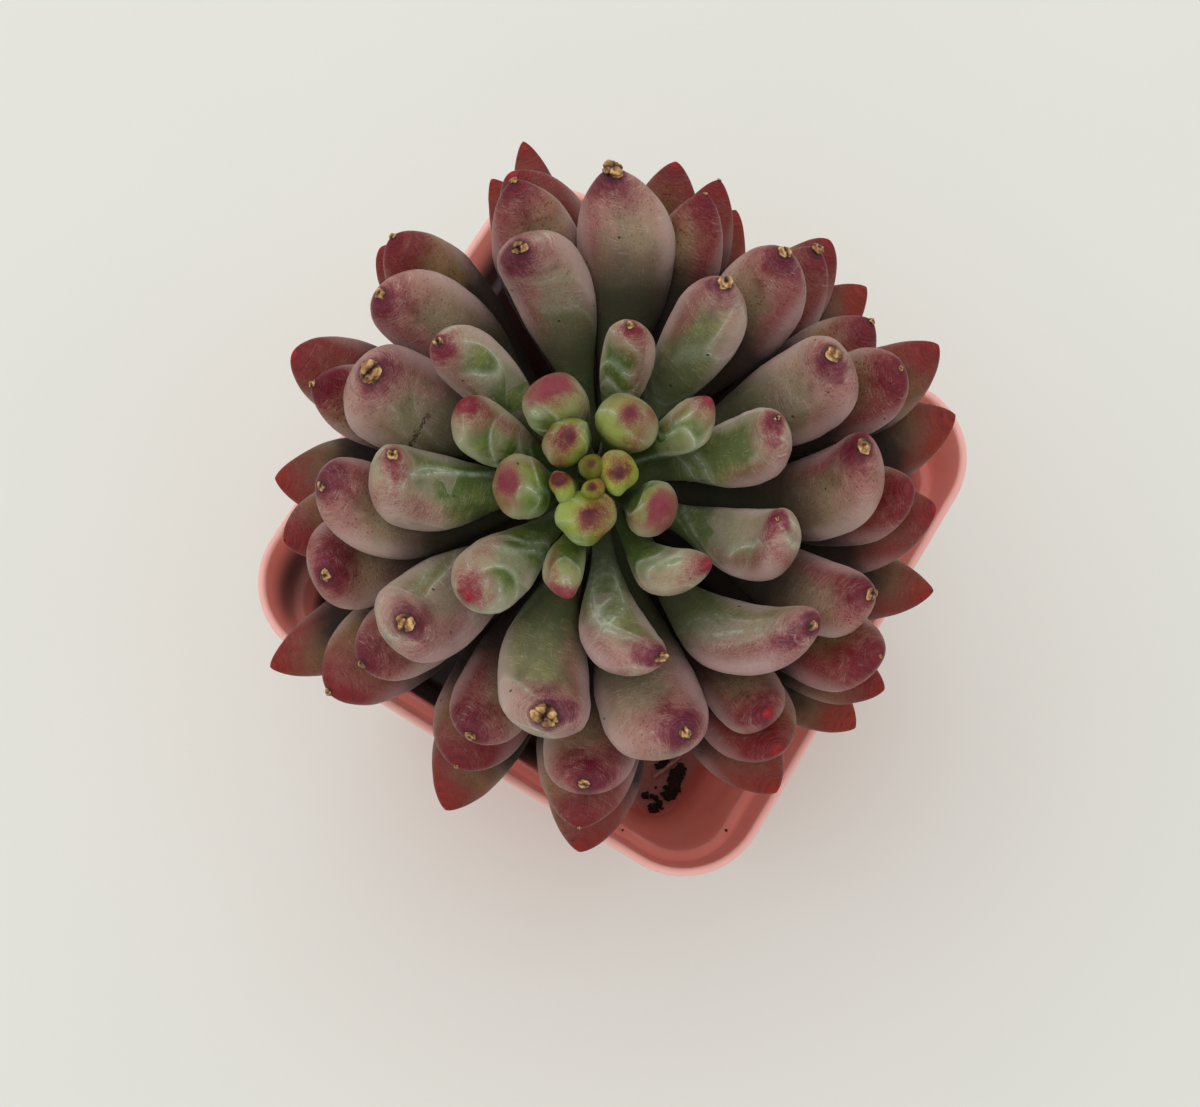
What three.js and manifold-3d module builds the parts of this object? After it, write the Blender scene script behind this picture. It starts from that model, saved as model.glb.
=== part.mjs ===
// A potted echeveria: a leaning rosette of thick club-shaped leaves on a short bare stem,
// standing in a clod of soil inside a square plastic nursery pot with rounded corners.
// Millimetres, +Z up. The origin is the centre of the pot's flat underside, and the pot's
// sides lie along X and Y.

import * as THREE from 'three';
import { mergeVertices } from 'three/addons/utils/BufferGeometryUtils.js';
import Module from 'manifold-3d';

const wasm = await Module();
wasm.setup();

// Pot: half sides and corner radii are measured on the outside
const POT_HEIGHT = 68;
const RIM_HALF = 36;
const RIM_CORNER = 10.7;
const BASE_HALF = 25.4;
const BASE_CORNER = 6.5;
const WALL = 1;
const FLOOR_THICKNESS = 2;
const COLLAR_HEIGHT = 12;
const COLLAR_DRAFT = 1.7;
const LEDGE_WIDTH = 1.3;
const LEDGE_Z = POT_HEIGHT - COLLAR_HEIGHT;
const DRAIN_RADIUS = 2.6;
const DRAIN_OFFSET = 15;
const DRAIN_SIDES = 16;
const CORNER_STEPS = 5;

// Soil: a root clod that leaves the pot's corners bare
const GAP = 0.3;
const CLOD_HEIGHT = 38;
const CLOD_PROFILE = [[18, 0], [20, 9.5], [18, 21], [14, 32], [11, 38]];
const CLOD_LUMP = 0.028;
const CLOD_SIDES = 20;
const STEM_SOCKET_DEPTH = 14;

// Rosette: its crown point, and the way it leans, turned with the camera's side of the pot
const PHOTO_TURN = 31.6;
const CROWN_ABOVE_RIM = 44;
const CROWN_SIDEWAYS = -2.9;
const CROWN_FORWARD = 7.1;
const LEAN = 12.6;
const LEAN_TOWARD = -108.7;

// Stem, with its bends given as drops below the crown along the rosette's axis
const STEM_RADIUS = 4;
const STEM_TOP_DROP = 14;
const STEM_NECK_DROP = 25.5;
const STEM_FOOT_DROP = 51.6;
const STEM_SIDES = 10;
const STEM_STEPS = 9;
const SHOOT_TIP_PROFILE = [[0, 14], [3.4, 14], [3, 10], [1.8, 7], [0, 4.5]];

// Leaves, from the heart outwards, as the photo shows them from VIEW_DISTANCE above the crown:
// azimuth in degrees, reach of the tip in millimetres at the crown's level and, where a leaf
// is clearly slimmer or broader than its neighbours, its width as a share of the usual one
const LEAF_PLACES = [
  [94, 1.5, 0.9], [270, 1], [6, 3, 1.4], [188, 3.5, 0.85], [265, 4, 1.6], [117, 5, 1.2],
  [59, 8, 1.1], [183, 9, 1.06], [337, 8], [116, 10.5, 1.02], [259, 12.9, 0.64], [32.5, 15, 0.62],
  [150, 15.5, 0.76], [323, 15.5, 0.68], [224, 18, 0.88], [75, 16.5, 0.7], [173, 21, 0.97],
  [138, 21.5, 0.75], [16.6, 20.3, 0.84], [346.7, 20, 0.85], [291, 20.3, 0.82], [54.5, 24.5, 0.83],
  [259, 25.1, 1.06], [218, 24.5, 1.1], [325.5, 27.6, 0.85], [106.7, 25, 0.92], [154, 25.5, 1.15],
  [26, 28], [290, 28, 1.15], [85.3, 31.7, 1.05], [138.5, 29, 0.95], [181.5, 28.1],
  [5.6, 28.3, 0.95], [336.7, 31.3, 0.8], [48.3, 30.5, 0.95], [200, 29, 1.12], [268.5, 31.2, 1.05],
  [245, 29, 0.95], [306.3, 30.4, 0.79], [104, 31.6], [219, 30.2, 0.93], [18.4, 33.5, 0.9],
  [161, 30.5, 0.85], [28, 32.5, 0.9], [67.2, 31.3, 0.8], [327.7, 34.7, 0.97], [44.3, 32.4, 0.9],
  [129, 32.2, 0.96], [357, 32.8, 0.84], [245, 32.1, 1.1], [268, 35.4, 1.15], [304, 33.9],
  [219, 34.6, 1.1], [157, 33.6, 0.9], [104, 32.5], [191, 32.5, 0.9], [44, 34.2, 0.85],
  [74.3, 33.6, 0.85], [66, 33.2, 0.8], [132, 32.5, 0.85], [354, 35.4, 0.95], [20, 38, 0.85],
  [323.5, 37.1, 0.85], [268, 38.5, 1.1], [246, 37.5], [300, 37.6], [210, 39, 0.85],
  [158, 33, 0.85], [101, 35.9, 0.6], [179.5, 33.3], [108, 33, 0.7], [61, 31.5, 0.8],
  [34, 34.5, 0.85], [9, 38, 0.95], [341, 37.1, 0.85], [316, 37.5, 0.9],
];
const VIEW_DISTANCE = 190;
const SIGHT_SLOPE = [-0.075, 0.063];
const HEART_LEAVES = 22;
const BUD_WIDTH = 2.2;
const LEAF_WIDTH = 11.3;
const WIDTH_GAIN_REACH = 13;
const TIP_DROP = 26;
const TIP_DROP_POWER = 1.7;
const FIRST_SEAT_DROP = 6;
const LAST_SEAT_DROP = 23.5;
const SEAT_DROP_POWER = 0.75;
const SEAT_SPREAD_ORDERS = 10;
const HEART_SEAT_SHARE = 0.3;
const YOUNG_THICKNESS = 1;
const OLD_THICKNESS = 0.47;
const THINNING_POWER = 0.35;

// A leaf's upward curl in degrees grows over the first orders and is partly lost as it sags
const YOUNG_CURL = 5;
const FULL_CURL = 30;
const FULL_CURL_ORDER = 5;
const SAG_AGE = 0.5;
const SAG_CURL_LOSS = 18;

// Leaf outline: shares of its length and of its width
const NECK_WIDTH = 0.3;
const NECK_START = 0.12;
const BELLY_AT = 0.74;
const ROOT_ROUNDING = 0.03;
const POINTED_CLOSING = [1.7, 0.7];
const BLUNT_CLOSING = [2.4, 0.5];
const YOUNG_BLUNTNESS = 0;
const BLUNT_FROM_ORDER = 20;
const BLUNT_UNTIL_AGE = 0.6;
const POINTED_FROM_AGE = 0.9;
const TIP_LIFT = 0.42;
const TIP_OVERHANG = 0.3;

// How far a tip turns up at its end in degrees, as its crust sits inside the leaf's outline in the photo
const TIP_TURNS = {
  4: 25, 10: -10, 11: -20, 13: 0, 15: 15, 16: 50, 17: 20, 18: 20, 19: 55, 20: 20, 21: 20, 22: 46, 23: 56,
  24: 25, 25: 40, 26: 40, 27: 32, 28: 42, 29: 8, 30: 25, 31: 20, 32: 45, 33: 25, 34: 15, 35: 55, 36: 45,
  37: 30, 38: 45, 39: 5, 40: 15, 43: 10, 44: 5, 45: 20, 46: 15, 49: 25, 51: 30,
};
const USUAL_TIP_TURN = 20;
const TURN_FROM = 0.6;
const PATH_STEPS = 240;

// Leaves that bend: how far the middle of the blade lies off the line to its tip
const BOWS = {
  3: 0.5, 5: 0.6, 7: 0.5, 8: -0.4, 10: -0.8, 12: 0.6, 13: -3.2, 16: 0.8, 19: -1.3, 20: -2.4, 22: -3,
  24: -6, 25: -1.2, 28: -0.8, 29: -0.8, 30: -1.2, 31: 3.2, 32: -3, 48: -1, 51: -1, 60: -2.4,
};

// Lopsided leaves: how far the blade at its widest lies to one side of its tip
const SIDES = {
  5: 0.3, 8: -0.3, 10: -0.9, 11: -0.8, 12: 0.8, 13: -0.6, 14: -0.5, 16: 2.4, 17: -0.6, 18: -1.8,
  19: -1.9, 20: -2, 21: -0.3, 22: 0.8, 24: -0.3, 25: -0.5, 26: 1.4, 27: -1.7, 28: -2.4, 29: -0.8,
  30: -0.9, 32: -1.7, 33: -2.2, 34: -0.6, 35: -1.2, 38: -0.8, 39: -0.3, 41: -0.5, 43: -1.1, 45: -2,
  46: -0.9, 48: -1, 49: -0.5, 51: -0.3, 52: -0.6, 54: -2, 55: -1.2, 56: -0.6, 60: -1.1, 61: -1.6,
  62: -1.8, 63: 0.8, 64: -0.5, 65: -1, 66: 0.4, 70: -1.1, 73: -1.4, 74: -1.6, 75: -0.9,
};

// Leaves with a sharper end than others of their age, as a share of their bluntness
const SLENDER_LEAVES = {
  10: 0, 11: 0, 13: 0.3, 15: 0.4, 18: 0.6, 20: 0.5, 21: 0.3, 29: 0.1, 34: 0.5, 39: 0, 42: 0.2,
  43: 0.3, 44: 0.05, 46: 0.4, 47: 0.4, 50: 0.3, 57: 0, 58: 0,
};

// Neighbours that overlap in the photo are pressed together at this share of their reach
const PILE_TEST_AT = 0.75;
const PILE_PRESS = 0.8;

const LEAF_SIDES = 10;
const LEAF_RINGS = 9;
const HEART_SIDES = 8;
const HEART_RINGS = 7;
const RING_CROWDING = 1.45;

const rad = THREE.MathUtils.degToRad;
const lerp = THREE.MathUtils.lerp;
const clamp = THREE.MathUtils.clamp;

// Closed solids in and out of the boolean library
function toSolid(geometry) {
  const bare = geometry.clone();
  bare.deleteAttribute('normal');
  bare.deleteAttribute('uv');
  const merged = mergeVertices(bare, 1e-4);
  return new wasm.Manifold(new wasm.Mesh({
    numProp: 3,
    vertProperties: new Float32Array(merged.attributes.position.array),
    triVerts: new Uint32Array(merged.index.array),
  }));
}

function toGeometry(solid) {
  const mesh = solid.getMesh();
  const geometry = new THREE.BufferGeometry();
  geometry.setAttribute('position', new THREE.BufferAttribute(mesh.vertProperties, 3));
  geometry.setIndex(new THREE.BufferAttribute(mesh.triVerts, 1));
  geometry.computeVertexNormals();
  return geometry;
}

function largestBody(solid) {
  const bodies = solid.decompose();
  return bodies.reduce((best, body) => (body.volume() > best.volume() ? body : best));
}

function finish(name, colour, roughness) {
  return new THREE.MeshStandardMaterial({ name, color: colour, roughness, metalness: 0 });
}

function namedMesh(name, geometry, material) {
  const mesh = new THREE.Mesh(geometry, material);
  mesh.name = name;
  return mesh;
}

// Pot
function roundedSquare(half, corner) {
  const shape = new THREE.Shape();
  const flat = half - corner;
  shape.absarc(flat, flat, corner, 0, Math.PI / 2);
  shape.absarc(-flat, flat, corner, Math.PI / 2, Math.PI);
  shape.absarc(-flat, -flat, corner, Math.PI, 1.5 * Math.PI);
  shape.absarc(flat, -flat, corner, 1.5 * Math.PI, 2 * Math.PI);
  return shape;
}

function taperedBlock(low, high) {
  const depth = high.z - low.z;
  const shape = roundedSquare(high.half, high.corner);
  const geometry = new THREE.ExtrudeGeometry(shape, {
    depth,
    bevelEnabled: false,
    curveSegments: CORNER_STEPS,
  });
  const position = geometry.attributes.position;
  const highFlat = high.half - high.corner;
  const lowFlat = low.half - low.corner;
  for (let i = 0; i < position.count; i += 1) {
    if (position.getZ(i) < depth / 2) {
      const x = position.getX(i);
      const y = position.getY(i);
      const arcX = (x - Math.sign(x) * highFlat) / high.corner;
      const arcY = (y - Math.sign(y) * highFlat) / high.corner;
      position.setXY(
        i,
        Math.sign(x) * lowFlat + arcX * low.corner,
        Math.sign(y) * lowFlat + arcY * low.corner,
      );
    }
  }
  return toSolid(geometry).translate([0, 0, low.z]);
}

function bodySection(z, inset, overshoot = 0) {
  const rise = z / LEDGE_Z;
  return {
    z: z + overshoot,
    half: lerp(BASE_HALF, RIM_HALF - COLLAR_DRAFT - LEDGE_WIDTH, rise) - inset,
    corner: lerp(BASE_CORNER, RIM_CORNER - COLLAR_DRAFT - LEDGE_WIDTH, rise) - inset,
  };
}

function makePot() {
  const collarFoot = {
    z: LEDGE_Z - WALL,
    half: RIM_HALF - COLLAR_DRAFT,
    corner: RIM_CORNER - COLLAR_DRAFT,
  };
  const rim = { z: POT_HEIGHT, half: RIM_HALF, corner: RIM_CORNER };
  const collarFloor = { z: LEDGE_Z, half: collarFoot.half - WALL, corner: collarFoot.corner - WALL };
  const mouth = { z: POT_HEIGHT + WALL, half: RIM_HALF - WALL, corner: RIM_CORNER - WALL };
  const outside = taperedBlock(bodySection(0, 0), bodySection(LEDGE_Z, 0))
    .add(taperedBlock(collarFoot, rim));
  const inside = taperedBlock(bodySection(FLOOR_THICKNESS, WALL), bodySection(LEDGE_Z, WALL, WALL))
    .add(taperedBlock(collarFloor, mouth));
  let pot = outside.subtract(inside);
  for (const [x, y] of [[1, 0], [0, 1], [-1, 0], [0, -1]]) {
    const drain = new THREE.CylinderGeometry(DRAIN_RADIUS, DRAIN_RADIUS, 3 * FLOOR_THICKNESS, DRAIN_SIDES);
    drain.rotateX(Math.PI / 2);
    drain.translate(x * DRAIN_OFFSET, y * DRAIN_OFFSET, 0);
    pot = pot.subtract(toSolid(drain));
  }
  return pot;
}

// Rosette frame: its own Z runs out of the heart, and azimuths are counted from the photo's right
const photoSide = new THREE.Matrix4().makeRotationZ(rad(PHOTO_TURN));
const crown = new THREE.Vector3(CROWN_SIDEWAYS, -CROWN_FORWARD, POT_HEIGHT + CROWN_ABOVE_RIM)
  .applyMatrix4(photoSide);
const leanAxis = new THREE.Vector3(Math.cos(rad(LEAN_TOWARD)), Math.sin(rad(LEAN_TOWARD)), 0)
  .cross(new THREE.Vector3(0, 0, 1)).negate().normalize();
const rosetteFrame = new THREE.Matrix4().makeTranslation(crown)
  .multiply(photoSide)
  .multiply(new THREE.Matrix4().makeRotationAxis(leanAxis, rad(LEAN)));

// Leaves
function leafAge(order) {
  return order / (LEAF_PLACES.length - 1);
}

// Sideways shift of the blade's middle, at a share of its length and of its greatest width
function shiftAt(along, order, halfWidth) {
  return (BOWS[order] ?? 0) * Math.sin(Math.PI * along) + (SIDES[order] ?? 0) * halfWidth;
}

function describeLeaf(order, tipDrop) {
  const [seenAzimuth, seenReach, breadth = 1] = LEAF_PLACES[order];
  const age = leafAge(order);
  const away = seenReach * (1 + tipDrop / VIEW_DISTANCE);
  const tip = new THREE.Vector2(Math.cos(rad(seenAzimuth)), Math.sin(rad(seenAzimuth)))
    .multiplyScalar(away)
    .add(new THREE.Vector2(...SIGHT_SLOPE).multiplyScalar(tipDrop));
  const width = breadth * lerp(BUD_WIDTH, LEAF_WIDTH, 1 - Math.exp(-seenReach / WIDTH_GAIN_REACH));
  const thickness = width * lerp(YOUNG_THICKNESS, OLD_THICKNESS, age ** THINNING_POWER);
  const ripe = lerp(YOUNG_BLUNTNESS, 1, Math.min(1, order / BLUNT_FROM_ORDER));
  const old = clamp((age - BLUNT_UNTIL_AGE) / (POINTED_FROM_AGE - BLUNT_UNTIL_AGE), 0, 1);
  const blunt = ripe * (1 - old);
  const sag = Math.max(0, (age - SAG_AGE) / (1 - SAG_AGE));
  const curl = lerp(YOUNG_CURL, FULL_CURL, Math.min(1, order / FULL_CURL_ORDER)) - SAG_CURL_LOSS * sag;
  const azimuth = tip.angle();
  const reach = tip.length() + TIP_OVERHANG * blunt * thickness;
  return {
    order,
    azimuth,
    bodyAzimuth: azimuth + shiftAt(PILE_TEST_AT, order, 1) / (PILE_TEST_AT * reach),
    reach,
    width,
    thickness,
    seat: STEM_RADIUS * (1 - Math.exp(-(order + 0.5) / SEAT_SPREAD_ORDERS)),
    seatDrop: lerp(FIRST_SEAT_DROP, LAST_SEAT_DROP, age ** SEAT_DROP_POWER),
    tipDrop,
    curl: rad(curl),
    turn: rad(TIP_TURNS[order] ?? USUAL_TIP_TURN * blunt),
    blunt,
  };
}

// Each leaf is lowered until it lies below the younger leaves that it would cut through
function levelAt(leaf, radius) {
  const along = (radius - leaf.seat) / (leaf.reach - leaf.seat);
  return lerp(leaf.seatDrop, leaf.tipDrop, along);
}

function extraDrop(leaf, upper) {
  const radius = PILE_TEST_AT * Math.min(leaf.reach, upper.reach);
  const apart = 2 * radius * Math.abs(Math.sin((leaf.bodyAzimuth - upper.bodyAzimuth) / 2));
  const width = (leaf.width + upper.width) / 2;
  if (apart >= width || radius < LEAF_WIDTH) {
    return 0;
  }
  const stacked = 0.5 * (leaf.thickness + upper.thickness) * Math.sqrt(1 - (apart / width) ** 2);
  const short = levelAt(upper, radius) + PILE_PRESS * stacked - levelAt(leaf, radius);
  return Math.max(0, short) * (leaf.reach - leaf.seat) / (radius - leaf.seat);
}

function stackLeaves() {
  const pile = [];
  LEAF_PLACES.forEach((_, order) => {
    let leaf = describeLeaf(order, TIP_DROP * leafAge(order) ** TIP_DROP_POWER);
    for (const upper of pile) {
      leaf = describeLeaf(order, leaf.tipDrop + extraDrop(leaf, upper));
    }
    pile.push(leaf);
  });
  return pile;
}

// Points along the leaf in its own upright plane. The end turns up, and the line is then turned and
// stretched so that it still runs from the seat to the tip
function leafMidline(leaf, lengthen) {
  const start = new THREE.Vector2(leaf.seat + GAP, -leaf.seatDrop);
  const end = new THREE.Vector2(leaf.reach, -leaf.tipDrop);
  const chord = end.clone().sub(start);
  const rootHeading = Math.atan2(chord.y, chord.x) - leaf.curl;
  const bend = new THREE.Vector2(Math.cos(rootHeading), Math.sin(rootHeading))
    .multiplyScalar(chord.length() / 2 / Math.cos(leaf.curl))
    .add(start);
  const lastHeading = end.clone().sub(bend).normalize();
  const lift = TIP_LIFT * leaf.blunt * leaf.thickness;
  const aim = new THREE.Vector2(-lastHeading.y, lastHeading.x).multiplyScalar(lift).add(chord);
  aim.setLength(aim.length() + lengthen);
  const origin = new THREE.Vector2();
  const path = [origin.clone()];
  for (let step = 0; step < PATH_STEPS; step += 1) {
    const share = (step + 0.5) / PATH_STEPS;
    const pace = bend.clone().sub(start).lerp(end.clone().sub(bend), share)
      .rotateAround(origin, leaf.turn * THREE.MathUtils.smootherstep(share, TURN_FROM, 1));
    path.push(path[step].clone().addScaledVector(pace, 2 / PATH_STEPS));
  }
  const reached = path[PATH_STEPS].clone();
  const twist = aim.angle() - reached.angle();
  const stretch = aim.length() / reached.length();
  return path.map((point) => point.rotateAround(origin, twist).multiplyScalar(stretch).add(start));
}

function midlineAt(midline, along) {
  const step = Math.min(Math.floor(along * PATH_STEPS), PATH_STEPS - 1);
  const heading = midline[step + 1].clone().sub(midline[step]);
  const centre = midline[step].clone().addScaledVector(heading, along * PATH_STEPS - step);
  return [centre, heading.normalize()];
}

function leafHalfWidth(along, blunt) {
  const body = lerp(NECK_WIDTH, 1, THREE.MathUtils.smootherstep(along, NECK_START, BELLY_AT));
  const past = clamp((along - BELLY_AT) / (1 - BELLY_AT), 0, 1);
  const [inner, outer] = POINTED_CLOSING.map((power, i) => lerp(power, BLUNT_CLOSING[i], blunt));
  const closing = (1 - past ** inner) ** outer;
  const root = clamp(along / ROOT_ROUNDING, 0, 1);
  return body * closing * Math.sqrt(root * (2 - root));
}

function leafSolid(leaf, sides, rings, margin = 0) {
  const roundness = leaf.blunt * (SLENDER_LEAVES[leaf.order] ?? 1);
  const profile = [];
  for (let ring = 0; ring <= rings; ring += 1) {
    const along = 1 - (1 - ring / rings) ** RING_CROWDING;
    const halfWidth = ring === 0 || ring === rings ? 0 : leafHalfWidth(along, roundness);
    profile.push(new THREE.Vector2(halfWidth, along));
  }
  const geometry = new THREE.LatheGeometry(profile, sides);
  const midline = leafMidline(leaf, margin);
  const position = geometry.attributes.position;
  for (let i = 0; i < position.count; i += 1) {
    const along = clamp(position.getY(i), 0, 1);
    const [centre, heading] = midlineAt(midline, along);
    const shift = shiftAt(along, leaf.order, leafHalfWidth(along, roundness));
    const side = shift - position.getX(i) * (leaf.width / 2 + margin);
    const up = position.getZ(i) * (leaf.thickness / 2 + margin);
    const radius = centre.x - heading.y * up;
    const height = centre.y + heading.x * up;
    position.setXYZ(
      i,
      radius * Math.cos(leaf.azimuth) - side * Math.sin(leaf.azimuth),
      radius * Math.sin(leaf.azimuth) + side * Math.cos(leaf.azimuth),
      height,
    );
  }
  return toSolid(geometry);
}

const leaves = stackLeaves();

// Heart: the shoot tip with its young green leaves grown together at their bases
function shootTip() {
  const points = SHOOT_TIP_PROFILE.map(([radius, drop]) => new THREE.Vector2(radius, -drop));
  const geometry = new THREE.LatheGeometry(points, STEM_SIDES);
  geometry.rotateX(Math.PI / 2);
  return toSolid(geometry);
}

function youngLeaves(margin) {
  return leaves.slice(0, HEART_LEAVES).map((leaf) => {
    const rooted = { ...leaf, seat: HEART_SEAT_SHARE * leaf.seat };
    return leafSolid(rooted, HEART_SIDES, HEART_RINGS, margin);
  });
}

function makeHeart() {
  return largestBody(youngLeaves(0).reduce((heart, leaf) => heart.add(leaf), shootTip()));
}

// Full-grown leaves, each cleared of the younger ones that lie above it
function matureLeaves() {
  const cutters = youngLeaves(GAP);
  return leaves.slice(HEART_LEAVES).map((leaf) => {
    const whole = leafSolid(leaf, LEAF_SIDES, LEAF_RINGS);
    const cleared = cutters.reduce((solid, cutter) => solid.subtract(cutter), whole);
    cutters.push(leafSolid(leaf, LEAF_SIDES, LEAF_RINGS, GAP));
    return largestBody(cleared);
  });
}

// Stem, from its socket in the clod up into the rosette
function belowCrown(drop) {
  return new THREE.Vector3(0, 0, -drop).applyMatrix4(rosetteFrame);
}

function stemFoot() {
  const foot = belowCrown(STEM_FOOT_DROP);
  const socketFloor = FLOOR_THICKNESS + GAP + CLOD_HEIGHT - STEM_SOCKET_DEPTH;
  return foot.setZ(socketFloor + GAP);
}

function stemCurve() {
  const foot = stemFoot();
  const ankle = foot.clone().add(new THREE.Vector3(0, 0, STEM_SOCKET_DEPTH));
  const neck = belowCrown(STEM_NECK_DROP);
  const top = belowCrown(STEM_TOP_DROP + GAP);
  return new THREE.CatmullRomCurve3([foot, ankle, neck, top]);
}

function makeStem() {
  const section = new THREE.Shape();
  section.absarc(0, 0, STEM_RADIUS, 0, 2 * Math.PI);
  const geometry = new THREE.ExtrudeGeometry(section, {
    steps: STEM_STEPS,
    curveSegments: STEM_SIDES,
    extrudePath: stemCurve(),
  });
  return toSolid(geometry);
}

// Soil
function makeSoil() {
  const profile = [[0, 0], ...CLOD_PROFILE, [0, CLOD_HEIGHT]];
  const points = profile.map(([radius, height]) => new THREE.Vector2(radius, height));
  const geometry = new THREE.LatheGeometry(points, CLOD_SIDES);
  geometry.rotateX(Math.PI / 2);
  const position = geometry.attributes.position;
  for (let i = 0; i < position.count; i += 1) {
    const x = position.getX(i);
    const y = position.getY(i);
    const z = position.getZ(i);
    const turn = Math.atan2(y, x);
    const lump = 1 + CLOD_LUMP * (Math.sin(3 * turn + 0.2 * z) + Math.cos(5 * turn - 0.3 * z));
    position.setXYZ(i, x * lump, y * lump, z + FLOOR_THICKNESS + GAP);
  }
  const foot = stemFoot();
  const socketRadius = STEM_RADIUS + 2 * GAP;
  const socket = new THREE.CylinderGeometry(socketRadius, socketRadius, 4 * STEM_SOCKET_DEPTH, CLOD_SIDES);
  socket.rotateX(Math.PI / 2);
  socket.translate(foot.x, foot.y, foot.z - GAP + 2 * STEM_SOCKET_DEPTH);
  return toSolid(geometry).subtract(toSolid(socket));
}

// Assembly
const potPlastic = finish('salmon pink plastic', 0xc4736a, 0.6);
const soilEarth = finish('dark soil', 0x2c211b, 1);
const stemBark = finish('stem bark', 0x7c6a55, 0.9);
const heartGreen = finish('lime green heart', 0x8a9a5c, 0.55);
const leafMauve = finish('mauve leaf', 0x93706c, 0.55);

const plant = new THREE.Group();
plant.name = 'potted_echeveria';
plant.add(namedMesh('pot', toGeometry(makePot()), potPlastic));
plant.add(namedMesh('soil', toGeometry(makeSoil()), soilEarth));
plant.add(namedMesh('stem', toGeometry(makeStem()), stemBark));

const rosette = new THREE.Group();
rosette.applyMatrix4(rosetteFrame);
plant.add(rosette);

rosette.add(namedMesh('heart', toGeometry(makeHeart()), heartGreen));
matureLeaves().forEach((leaf, index) => {
  const name = `leaf_${String(index + 1).padStart(2, '0')}`;
  rosette.add(namedMesh(name, toGeometry(leaf), leafMauve));
});

export default plant;
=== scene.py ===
import math
import random

import bmesh
import bpy
import numpy as np
from mathutils import Matrix, Vector, kdtree, noise


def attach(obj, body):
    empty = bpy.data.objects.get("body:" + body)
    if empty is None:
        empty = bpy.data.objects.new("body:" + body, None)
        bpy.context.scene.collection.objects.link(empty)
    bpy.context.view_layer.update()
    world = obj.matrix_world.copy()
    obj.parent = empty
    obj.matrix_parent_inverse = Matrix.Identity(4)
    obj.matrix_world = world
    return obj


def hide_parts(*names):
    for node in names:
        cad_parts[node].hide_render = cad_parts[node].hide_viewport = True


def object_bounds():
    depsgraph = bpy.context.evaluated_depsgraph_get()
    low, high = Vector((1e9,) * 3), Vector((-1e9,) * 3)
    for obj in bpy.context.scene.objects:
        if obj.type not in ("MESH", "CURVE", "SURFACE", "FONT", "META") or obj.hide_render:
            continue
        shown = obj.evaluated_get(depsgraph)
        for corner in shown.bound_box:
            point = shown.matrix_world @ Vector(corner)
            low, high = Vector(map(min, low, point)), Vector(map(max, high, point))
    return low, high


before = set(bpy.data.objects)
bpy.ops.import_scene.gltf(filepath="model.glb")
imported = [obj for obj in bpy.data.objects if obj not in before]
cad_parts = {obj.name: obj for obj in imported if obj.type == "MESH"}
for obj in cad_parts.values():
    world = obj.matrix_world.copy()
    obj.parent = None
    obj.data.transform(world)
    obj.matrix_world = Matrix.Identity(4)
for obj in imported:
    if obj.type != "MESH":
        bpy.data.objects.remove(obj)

cad_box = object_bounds()
MM = 0.001
CAD_CORNERS = [np.array(corner) / MM for corner in cad_box]
SEED = 31

# Pot, as in the part's source: half sides and corner radii on the outside, in millimetres
POT_HEIGHT = 68
RIM_HALF = 36
RIM_CORNER = 10.7
BASE_HALF = 25.4
BASE_CORNER = 6.5
WALL = 1
FLOOR_THICKNESS = 2
COLLAR_DRAFT = 1.7
LEDGE_WIDTH = 1.3
LEDGE_Z = 56
FLOOR_RING_INSET = 8
DRAIN_RADIUS = 2.6
DRAIN_OFFSET = 15
DRAIN_SIDES = 40
DRILL_LENGTH = 9
CORNER_STEPS = 12
FLAT_STEPS = 10
WALL_WAVE = 0.07
# The corner that the leaves leave open to the light, and how far it reaches; away from it the pot's
# inside is painted with shade
OPEN_CORNER = (24, -20)
OPEN_WIDTH = 26

# Soil and stem
GAP = 0.3
CLOD_PROFILE = [
    (0, 0), (17, 0), (18.4, 1), (20, 9.5), (18, 21), (14, 32), (11, 37.4), (9, 38), (0, 37),
]
CLOD_HEIGHT = 38
CLOD_RINGS = 70
CLOD_SIDES = 120
CLOD_BULGE = 0.028
TOP_CRUMBS = 120
TOP_CRUMB_RADII = (4.5, 10.5)
TOP_CRUMB_SIZES = (0.7, 1.8)
CRUMB_LUMPS = 0.55
STEM_RADIUS = 4
STEM_SOCKET_DEPTH = 14
STEM_TOP_DROP = 14
STEM_NECK_DROP = 25.5
STEM_FOOT_DROP = 51.6
STEM_RINGS = 110
STEM_SIDES = 56
STEM_SLACK = 0.25
STEM_WAVE = 0.2
STEM_BARK = (0.5, 0.8)

# Crumbs on the pot's floor: the ends of each streak, its spread and the number of crumbs
FLOOR_CRUMBS = [
    [(22.1, -15), (22.8, -20), 0.45, 130], [(21.5, -23), (22.7, -22.3), 0.3, 34],
    [(19.7, -22), (19.9, -21.6), 0.2, 8], [(19.2, -17), (19.4, -14.6), 0.2, 26],
    [(21.2, -19.8), (20.6, -22), 0.5, 7],
]
CRUMB_SIZES = (0.35, 1.3)
LEDGE_GRAINS = [(32.6, -25.6), (21.2, -32.6)]
GRAIN_SIZE = 0.42
ROOT_POINTS = [(19.2, -18.8), (19.9, -17.1), (20.6, -15.2), (21.3, -13.2)]
ROOT_RADIUS = 0.36
ROOT_HEIGHT = 0.8
ROOT_RINGS = 26
ROOT_SIDES = 12
ROOT_BARK = (0.1, 2)

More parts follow.
